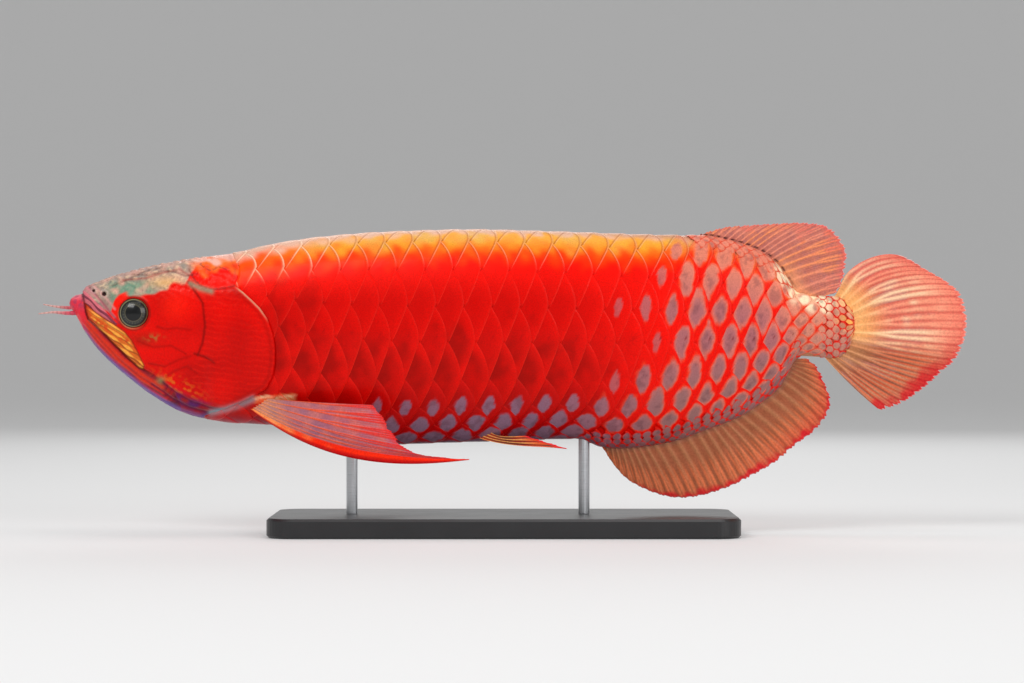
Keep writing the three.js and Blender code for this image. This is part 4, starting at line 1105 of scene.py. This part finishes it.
def eye_paint(r, turn, start):
    """Pupil, streaked iris, a dark ring and a thin green-gold one, by the distance r from the middle."""
    c = over((3, 4, 5), (44, 46, 44), step(5.0, 5.3, r))
    streaks = np.sin(29 * turn + 2 * np.sin(5 * turn + start))
    c = over(c, (96, 92, 74), 0.5 * bell(r - 6.3, 0.7) * step(-0.4, 0.9, streaks))
    c = over(c, (120, 112, 84), 0.6 * bell(r - 5.25, 0.18))
    c = over(c, (14, 16, 16), 0.9 * bell(r - 7.4, 0.45))
    c = over(c, (150, 146, 100), 0.9 * bell(r - 8.35, 0.26))
    c = over(c, (30, 28, 22), step(8.7, 9.0, r))
    return c


def wet_eye():
    look = Look("eye")
    look.paint(look.spread(look.noise(1500), 0.75, 1.2))
    look.set({
        "Roughness": 0.3,
        "Specular IOR Level": 0.2,
        "Coat Weight": 0.45,
        "Coat Roughness": 0.04,
    })
    return look.material


eye_look = wet_eye()
eye_y = float(width_at(EYE["x"], EYE["z"])) + EYE["bulge"] - EYE["depth"]


def eye_piece(side, word):
    rings, around = 48, 96
    angle = np.linspace(0.002, math.pi * 0.62, rings)
    turn = np.linspace(0, 2 * math.pi, around, endpoint=False)
    angle, turn = np.meshgrid(angle, turn, indexing="ij")
    r = (EYE["radius"] - 0.15) * np.sin(angle)
    depth = (EYE["depth"] - 0.1) * np.cos(angle)
    x = EYE["x"] + r * np.cos(turn)
    z = EYE["z"] + r * np.sin(turn)
    y = side * (eye_y + depth)
    points = np.stack([x, y, z], -1)
    faces = grid_faces(rings, around, closed=True)
    if side < 0:
        faces = faces[:, ::-1]
    uv = np.stack([0.5 + 0.49 * angle / 2 * np.cos(turn), 0.5 + 0.49 * angle / 2 * np.sin(turn)], -1)
    paint = eye_paint(r, turn, side)
    make_piece(
        f"eyeball_{word}", points.reshape(-1, 3), faces, paint.reshape(-1, 3), uv.reshape(-1, 2),
        eye_look, (f"eye_{word}",), "eye",
    )


eye_piece(-1, "left")
eye_piece(1, "right")

# Fins

FIN_SUNK = 1.6  # how deep the fins' roots lie under the skin


def edge_points(line, from_x, to_x, side, steps=24):
    """Places along the back (side 1) or belly (side -1), sunk under the skin."""
    xs = np.linspace(from_x, to_x, steps + 1)
    slope = line(xs + 0.5) - line(xs - 0.5)
    off = -side * FIN_SUNK / np.hypot(1, slope)
    return [tuple(v) for v in np.stack([xs - off * slope, line(xs) + off], -1)]


def ray_profile(phase, out, forks, broad):
    """How much of a ray lies at a place: phase runs from 0 to 1 across it, and the ray forks outwards."""
    ridge = np.zeros_like(phase)
    half = np.full_like(phase, 0.5)
    offsets = [np.zeros_like(phase)]
    for begin, widest in forks:
        apart = widest * step(begin, begin + 0.3, out)
        offsets = [o + s * apart for o in offsets for s in (-1, 1)]
    width = mix(broad, broad * 0.62, out)
    for o in offsets:
        ridge = np.maximum(ridge, bell(phase - half - o, width / (1 + 0.35 * len(forks))))
    return ridge


def fin_piece(
    name, grid_at, rays, colour_at, forks, root_thick, tip_thick, node,
    per_ray=14, rows=56, jag=(1.3, 1.3), seed=0, broad=0.3,
):
    """A fin as a closed sheet with ridges along its rays and teeth along its edge.

    grid_at(s, out) gives the sheet's middle for s from its first to its last ray and out from root to edge.
    jag is the teeth's depth at the first and the last ray.
    """
    columns = (rays - 1) * per_ray + 1
    s = np.linspace(0, 1, columns)
    out = np.linspace(0, 1, rows)
    s, out = np.meshgrid(s, out, indexing="ij")
    phase = (s * (rays - 1) + 0.5) % 1
    ridge = ray_profile(phase, out, forks, broad)
    number = np.floor(s * (rays - 1) + 0.5)
    rng = np.random.default_rng(seed)
    cut = rng.uniform(0.2, 1.0, rays + 1)[np.clip(number, 0, rays).astype(int)]
    middle, length = grid_at(s, out)
    short = 1 - (mix(*jag, s) * (1 - ridge) * (0.4 + cut)) / length * step(0.5, 1, out)
    middle, length = grid_at(s, out * short)
    du = np.gradient(middle, axis=0)
    dv = np.gradient(middle, axis=1)
    normal = np.cross(du, dv)
    normal /= np.maximum(1e-9, np.linalg.norm(normal, axis=-1, keepdims=True))
    thick = mix(root_thick, tip_thick, out ** 0.8) * (0.42 + 0.58 * ridge)
    thick *= 1 + 0.06 * np.sin(out * length / 0.9 * math.pi) * ridge * step(0.3, 0.5, out)
    front = middle + normal * (thick / 2)[..., None]
    back = middle - normal * (thick / 2)[..., None]
    paint = colour_at(middle, s, out, out * length, ridge, number)
    points = np.vstack([front.reshape(-1, 3), back.reshape(-1, 3)])
    base = np.stack([s, out], -1)
    uv = np.vstack([
        (base * [0.98, 0.48] + [0.01, 0.01]).reshape(-1, 2),
        (base * [0.98, 0.48] + [0.01, 0.51]).reshape(-1, 2),
    ])
    colours = np.vstack([paint.reshape(-1, 3)] * 2)
    return make_piece(name, points, sheet_faces(columns, rows), colours, uv, fin_look, (node,), "fin")


def middle_grid(root, root_share, tip, bow, sway, margin=None):
    """A fin in the middle plane: rays bow from root to tip, and the first follow the margin's curve."""
    def at(s, out):
        a = root(root_share(s))
        b = tip(s)
        across = np.stack([b[..., 1] - a[..., 1], a[..., 0] - b[..., 0]], -1)
        p = a + (b - a) * out[..., None] + across * (bow(s) * out * (1 - out))[..., None]
        if margin:
            start, end = root(root_share(np.zeros(1)))[0], tip(np.zeros(1))[0]
            bulge = margin(out) - (start + (end - start) * out[..., None])
            p += bulge * (np.maximum(0, 1 - s / 0.55) ** 1.4)[..., None]
        y = sway(s) * out ** 1.6
        return np.stack([p[..., 0], y, p[..., 1]], -1), np.linalg.norm(b - a, axis=-1)

    return at


dorsal_at = middle_grid(
    path_curve(edge_points(top_line, 121, 196, 1)),
    smooth_curve([(0, 0), (0.5, 0.42), (0.8, 0.66), (1, 1)]),
    path_curve([
        (122.5, 187), (139, 191.3), (161, 193), (189.5, 194), (201.5, 192), (208.5, 186.5),
        (214, 175.5), (213.3, 165), (210.5, 155), (207.5, 150),
    ]),
    lambda s: -0.13,
    lambda s: 2.6 * np.sin(1.5 * np.pi * s),
)
anal_at = middle_grid(
    path_curve(edge_points(bottom_line, 60, 181, -1)),
    smooth_curve([(0, 0), (0.25, 0.18), (0.45, 0.46), (0.61, 0.62), (0.84, 0.93), (1, 1)]),
    path_curve([
        (62, 53.4), (69, 42.5), (78, 33), (97, 24), (112, 22), (125.5, 24), (142, 29.5), (158, 37.5),
        (171.5, 45.5), (182.5, 55), (193.5, 63), (201.5, 72.5), (204.5, 82), (201, 93), (196, 103.5),
        (190, 109),
    ]),
    lambda s: -0.1,
    lambda s: 2.4 * np.sin(9 * s + 1),
)
caudal_root = path_curve(
    edge_points(top_line, 206, BODY_END_X - 3, 1, 8)
    + [(BODY_END_X - 2.5, 134), (BODY_END_X - 2.5, 127)]
    + edge_points(bottom_line, BODY_END_X - 3, 199, -1, 10)
)
caudal_at = middle_grid(
    caudal_root,
    lambda s: s,
    path_curve([
        (249, 173.2), (256, 170), (264, 165), (276, 158), (285.5, 150), (289, 139), (289, 127), (287, 119),
        (281.5, 108), (273.5, 101), (266.5, 94), (258.5, 87.5), (247.5, 80.5), (235.5, 76.5),
    ]),
    lambda s: 0.1 * step(0.3, 0.8, s) - 0.12 * bell(s - 0.25, 0.16),
    lambda s: 3 * np.sin(8 * s),
    path_curve([
        tuple(caudal_root(np.zeros(1))[0]), (209, 152), (213.5, 161), (220.5, 167.5), (231, 172.5),
        (241, 174.2), (249, 173.2),
    ]),
)


def fine_rays(s, count, out):
    """Fine branches between the rays, which grow stronger outwards."""
    return step(-0.2, 0.8, np.sin(2 * np.pi * count * s)) * step(0.1, 0.6, out)


def dorsal_paint(p, s, out, far, ridge, number):
    web = over((176, 100, 90), (192, 114, 98), 0.5 + 0.4 * mottle(p))
    web = over(web, (150, 100, 106), 0.4 * step(0.2, 1.2, grain(p)))
    warm = step(-0.3, 0.9, np.sin(0.9 * number + 0.4 * mottle(p)) + 0.6 * step(0.5, 1, s))
    ray = over((230, 140, 116), (250, 148, 88), 0.7 * warm)
    ray = over(ray, (232, 96, 88), 0.6 * step(0.55, 1, out + 0.12 * mottle(p)))
    c = over(web, ray, np.maximum(ridge, 0.4 * fine_rays(s, 95, out)))
    c = over(c, (250, 170, 110), 0.5 * (1 - step(0.05, 0.4, out)) * step(0.55, 0.9, s))
    c = over(c, (224, 70, 76), 0.4 * step(0.92, 0.985, out))
    c = over(c, (236, 180, 176), 0.8 * step(0.98, 0.997, out))
    base = bell(far - 3.1, 0.65) * (1 - step(0.8, 0.93, s))
    dashes = base * step(-0.2, 0.2, np.sin(2 * np.pi * 15 * s ** 0.8))
    c = over(c, (110, 40, 46), 0.3 * base)
    return over(c, (10, 10, 22), 0.95 * dashes)


def anal_paint(p, s, out, far, ridge, number):
    web = over((148, 84, 56), (160, 90, 62), 0.5 + 0.4 * mottle(p))
    ray = over((172, 112, 76), (208, 116, 78), step(0.35, 0.85, out))
    c = over(web, ray, ridge)
    fine = step(0.35, 0.65, out) * (1 - step(0.86, 0.95, out))
    c = over(c, (236, 116, 70), 0.45 * fine_rays(s, 62, out) * fine)
    c = over(c, (214, 50, 40), 0.35 * step(0.6, 0.9, out) * step(0.4, 0.8, s))
    margin = step(0.88, 0.98, out + 0.02 * mottle(p)) * step(0.03, 0.3, s)
    c = over(c, (208, 16, 36), 0.9 * margin)
    c = over(c, (214, 160, 160), 0.7 * step(0.985, 1.0, out))
    c = over(c, (150, 110, 90), 0.5 * (1 - step(1.5, 6, far)))
    return over(c, (236, 92, 40), 0.85 * (1 - step(0.01, 0.035, s)))


def caudal_paint(p, s, out, far, ridge, number):
    low = step(0.5, 0.66, s)
    web = over((206, 92, 78), (132, 72, 56), low)
    cloud = step(-0.4, 1.2, np.sin(1.7 * number + 4 * out) + 0.5 * mottle(p)) * (1 - step(0.45, 0.85, out))
    web = over(web, (168, 122, 120), 0.5 * cloud)
    warm = step(-0.9, 0.7, np.sin(1.9 * number + 0.5 + 0.3 * mottle(p))) * (1 - step(0.55, 1.0, out))
    ray = over((246, 150, 120), (254, 210, 168), warm)
    ray = over(ray, (190, 118, 84), low * 0.85)
    ray = over(ray, (238, 112, 96), 0.5 * step(0.6, 1.0, out) * (1 - 0.5 * low))
    c = over(web, ray, np.maximum(ridge, 0.35 * fine_rays(s, 56, out)))
    c = over(c, (232, 88, 44), 0.55 * low * fine_rays(s, 40, out) * (1 - step(0.75, 0.92, out)))
    c = over(c, (232, 96, 88), 0.5 * (1 - step(0.0, 0.2, s)) * step(0.2, 0.5, out))
    c = over(c, (255, 190, 112), 0.75 * (1 - step(0.06, 0.4, out)) * (1 - 0.7 * low))
    c = over(c, (222, 46, 56), (0.3 + 0.4 * low) * step(0.94, 0.985, out))
    crimson = step(0.78, 0.95, out + 0.04 * mottle(p)) * step(0.45, 0.75, s)
    c = over(c, (206, 14, 34), 0.85 * crimson)
    return over(c, (240, 190, 184), 0.75 * step(0.985, 1.0, out))


fin_piece(
    "fin_dorsal", dorsal_at, 22, dorsal_paint, [(0.45, 0.17)], 2.2, 0.9, "dorsal_fin",
    seed=21, broad=0.26,
)
fin_piece(
    "fin_anal", anal_at, 31, anal_paint, [(0.55, 0.15)], 2.2, 0.9, "anal_fin",
    jag=(0.2, 1.5), seed=22,
)
fin_piece(
    "fin_caudal", caudal_at, 15, caudal_paint, [(0.16, 0.23), (0.55, 0.09)], 2.2, 0.9, "caudal_fin",
    per_ray=24, rows=90, jag=(2.2, 3), seed=23, broad=0.33,
)

PECTORAL_TIPS = path_curve([
    (-20, 46), (-34, 46.6), (-48, 48), (-57.5, 51), (-64, 55), (-67.5, 60), (-72, 66), (-76, 73), (-82, 80),
])
PELVIC_TIPS = path_curve([(40, 52.5), (32, 55), (22, 58), (14, 60.5)])
ROOT_DEPTH = 2.5


def paired_grid(root_ends, tips_at, rayed, droop):
    (ax, az), (bx, bz) = root_ends

    def at(s, out):
        x, z = mix(ax, bx, s), mix(az, bz, s)
        root = np.stack([x, ROOT_DEPTH - width_at(x, z), z], -1)
        tip = tips_at(s, droop)
        return rayed(root, tip, s, out), np.linalg.norm(tip - root, axis=-1)

    return at


# The fin on the far side of the view is held a little lower and further forward.
DROOP = (-8, -5.4)


def spread(tip, out, droop):
    x, z = traced(tip[..., 0], tip[..., 1], out)
    return np.stack([x + droop * DROOP[0], -out, z + droop * DROOP[1]], -1)


def pectoral_tips(s, droop):
    return spread(PECTORAL_TIPS(s ** 0.9), mix(62, 42, s), droop)


def pectoral_ray(root, tip, s, out):
    p = root + (tip - root) * out[..., None]
    sag = mix(-0.14, -0.01, s ** 0.4)
    p[..., 2] += sag * (tip[..., 0] - root[..., 0]) * 4 * out * (1 - out) * (1 - 0.35 * out)
    p[..., 1] -= 16 * out * (1 - out)
    return p


def pelvic_tips(s, droop):
    return spread(PELVIC_TIPS(s), mix(36, 24, s), 0.4 * droop)


def pelvic_ray(root, tip, s, out):
    p = root + (tip - root) * out[..., None]
    p[..., 2] -= 12 * out * (1 - out) ** 2
    p[..., 1] -= 14 * out * (1 - out)
    return p


def mirrored(grid):
    def at(s, out):
        p, length = grid(s, out)
        return p * [1, -1, 1], length

    return at


def pectoral_paint(p, s, out, far, ridge, number):
    web = over((160, 104, 124), (196, 116, 116), 0.5 + 0.4 * mottle(p))
    web = over(web, (206, 60, 50), 0.5 * (1 - fine_rays(s, 34, out)) * step(0.3, 0.8, out))
    ray = over((236, 90, 50), (222, 40, 34), step(0.4, 0.9, out))
    c = over(web, ray, ridge)
    c = over(c, (246, 186, 120), 0.7 * (1 - step(0.05, 0.3, out)) * (0.4 + 0.6 * ridge))
    c = over(c, (226, 20, 30), 0.6 * step(0.93, 0.99, out))
    lead = 1 - step(0.07, 0.12, s)
    lead_colour = over((255, 150, 84), (255, 40, 6), step(0.1, 0.36, out + 0.04 * mottle(p)))
    lead_colour = over(lead_colour, (200, 0, 10), 1 - step(0.0, 0.025, s))
    return over(c, lead_colour, lead)


def pelvic_paint(p, s, out, far, ridge, number):
    web = over((170, 40, 26), (110, 48, 44), 0.5 + 0.4 * mottle(p))
    ray = over((255, 184, 104), (250, 80, 36), step(0.5, 0.95, out))
    c = over(web, ray, ridge)
    edge = np.maximum((1 - step(0.02, 0.06, s)) * step(0.3, 0.6, out), step(0.88, 0.97, out))
    return over(c, (232, 24, 44), edge)


for side, word in ((-1, "left"), (1, "right")):
    droop = max(0, side)
    pectoral = paired_grid([(-159, 79.5), (-150, 85)], pectoral_tips, pectoral_ray, droop)
    pelvic = paired_grid([(-17, 60), (-9, 63.5)], pelvic_tips, pelvic_ray, droop)
    if side > 0:
        pectoral, pelvic = mirrored(pectoral), mirrored(pelvic)
    fin_piece(
        f"fin_pectoral_{word}", pectoral, 7, pectoral_paint, [(0.35, 0.17), (0.65, 0.08)],
        2.0, 0.9, f"pectoral_fin_{word}", per_ray=24, rows=90, jag=(1.8, 1.8), seed=31, broad=0.2,
    )
    fin_piece(
        f"fin_pelvic_{word}", pelvic, 4, pelvic_paint, [(0.5, 0.15)], 1.8, 0.8,
        f"pelvic_fin_{word}", per_ray=24, rows=60, seed=32, broad=0.27,
    )

# Barbels


def barbel_piece(side, word):
    level = 137 if side < 0 else 140.5
    tip_up = 0 if side < 0 else 2.5
    knots = np.array([
        (-264, side * 3.4, level + 0.6), (-273, side * 5.2, level + 0.3), (-281, side * 7, level + 1),
        (-289.3, side * 9, level + tip_up),
    ])
    steps, around = 60, 20
    s = np.linspace(0, 1, steps)
    t = s * 3
    centre = np.stack([np.interp(t, np.arange(4), knots[:, k]) for k in range(3)], -1)
    for _ in range(30):
        centre[1:-1] = (centre[:-2] + 2 * centre[1:-1] + centre[2:]) / 4
    radius = mix(1.7, 0.35, s ** 0.8) * (1 + 0.04 * np.sin(40 * s))
    turn = np.linspace(0, 2 * np.pi, around, endpoint=False)
    ring = np.stack([0 * turn, np.cos(turn), np.sin(turn)], -1)
    points = centre[:, None, :] + radius[:, None, None] * ring[None]
    share = np.broadcast_to(s[:, None], (steps, around))
    paint = over((206, 70, 92), (214, 168, 160), step(0.15, 0.8, share))
    paint = over(paint, (120, 60, 74), 0.4 * step(0.3, 0.9, np.sin(60 * share)))
    tip = np.vstack([points.reshape(-1, 3), points[-1].mean(0) + [-0.3, 0, 0]])
    faces = grid_faces(steps, around, closed=True)[:, ::-1]
    last = (steps - 1) * around + np.arange(around)
    cap = np.stack([last, np.roll(last, -1), np.full(around, len(tip) - 1)], -1)[:, ::-1]
    uv = np.stack(np.meshgrid(s * 0.98 + 0.01, turn / (2 * np.pi), indexing="ij"), -1).reshape(-1, 2)
    uv = np.vstack([uv, [1, 0.5]])
    paint = np.vstack([paint.reshape(-1, 3), paint[-1].mean(0)])
    make_piece(
        f"feeler_{word}", tip, faces, paint, uv, barbel_look, (f"barbel_{word}",), "barbel", cap, around,
    )


barbel_piece(-1, "left")
barbel_piece(1, "right")

# The stand keeps its solids, with better materials


def lacquer():
    look = Look("stand_lacquer")
    cloud = look.noise(60, 6)
    look.two_tones(cloud, (0.010, 0.010, 0.011), (0.018, 0.018, 0.020))
    look.gloss(cloud, 0.3, 0.42)
    look.bump(look.noise(1200), 0.12, 0.0002)
    return look.material


def brushed_steel():
    look = Look("stand_steel")
    stretch = look.nodes.new("ShaderNodeMapping")
    stretch.inputs["Scale"].default_value = (90, 90, 2200)
    look.links.new(look.place, stretch.inputs["Vector"])
    brush = look.noise(1, place=stretch.outputs["Vector"])
    look.two_tones(brush, (0.42, 0.43, 0.45), (0.58, 0.59, 0.61))
    look.gloss(brush, 0.22, 0.4)
    look.set({"Metallic": 1})
    return look.material


base_look = lacquer()
rod_look = brushed_steel()
for node, look, slot in (
    ("stand_base", base_look, "stand_base"),
    ("stand_rod_front", rod_look, "stand_rod"),
    ("stand_rod_rear", rod_look, "stand_rod"),
):
    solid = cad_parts[node]
    solid.data.materials.clear()
    solid.data.materials.append(look)

# Studio


def stage_piece():
    """A pale floor that curves up into a backdrop all round, far enough out to look from any side."""
    flat, curve, height, around = 6.0, 2.5, 6.0, 96
    gap = 0.0002  # keeps the floor off the base's underside
    profile = [(0.01, 0.0), (flat, 0.0)]
    for angle in np.linspace(0, math.pi / 2, 13)[1:]:
        profile.append((flat + curve * math.sin(angle), curve - curve * math.cos(angle)))
    profile.append((flat + curve, height))
    turn = np.linspace(0, 2 * np.pi, around, endpoint=False)
    points = [(r * math.cos(t), r * math.sin(t), z - gap) for r, z in profile for t in turn]
    faces = [tuple(int(v) for v in face) for face in grid_faces(len(profile), around, closed=True)]
    mesh = bpy.data.meshes.new("studio_floor")
    mesh.from_pydata(points, [], faces)
    mesh.polygons.foreach_set("use_smooth", [True] * len(faces))
    look = Look("studio_floor")
    look.set({
        "Base Color": (0.62, 0.62, 0.62, 1),
        "Roughness": 0.9,
        "Emission Color": (1, 1, 1, 1),
        "Emission Strength": 0.16,
    })
    mesh.materials.append(look.material)
    piece = bpy.data.objects.new("studio_floor", mesh)
    bpy.context.scene.collection.objects.link(piece)


stage_piece()

world = bpy.data.worlds.new("studio")
bpy.context.scene.world = world
world.use_nodes = True
sky = world.node_tree.nodes["Background"]
sky.inputs["Color"].default_value = (1, 1, 1, 1)
sky.inputs["Strength"].default_value = 0.3


LIT_PLACE = Vector((0, 0, 0.12))  # what all the lamps shine at


def soft_light(name, place, size, power):
    """A lamp with a broad face, its place and size in metres and its power in watts."""
    data = bpy.data.lights.new(name, "AREA")
    data.shape = "RECTANGLE"
    data.size, data.size_y = size
    data.energy = power
    lamp = bpy.data.objects.new(name, data)
    lamp.location = place
    lamp.rotation_mode = "QUATERNION"
    lamp.rotation_quaternion = (LIT_PLACE - Vector(place)).to_track_quat("-Z", "Y")
    bpy.context.scene.collection.objects.link(lamp)


soft_light("key", (-0.9, -1.5, 1.5), (1.2, 0.8), 22)
soft_light("fill", (1.3, -1.4, 0.7), (1.2, 1.0), 13)
soft_light("top", (0.1, 0.1, 1.6), (1.6, 0.8), 9)
soft_light("back_fill", (0.2, 1.6, 1.0), (1.4, 0.8), 7)

camera_data = bpy.data.cameras.new("camera")
camera_data.lens = 100
camera_data.sensor_width = 36
camera = bpy.data.objects.new("camera", camera_data)
view_x, view_z, distance = SIDE_VIEW
camera.location = (view_x * MM, -distance * MM, view_z * MM)
camera.rotation_euler = (math.pi / 2, 0, 0)
bpy.context.scene.collection.objects.link(camera)
bpy.context.scene.camera = camera
bpy.context.scene.view_settings.view_transform = "Standard"
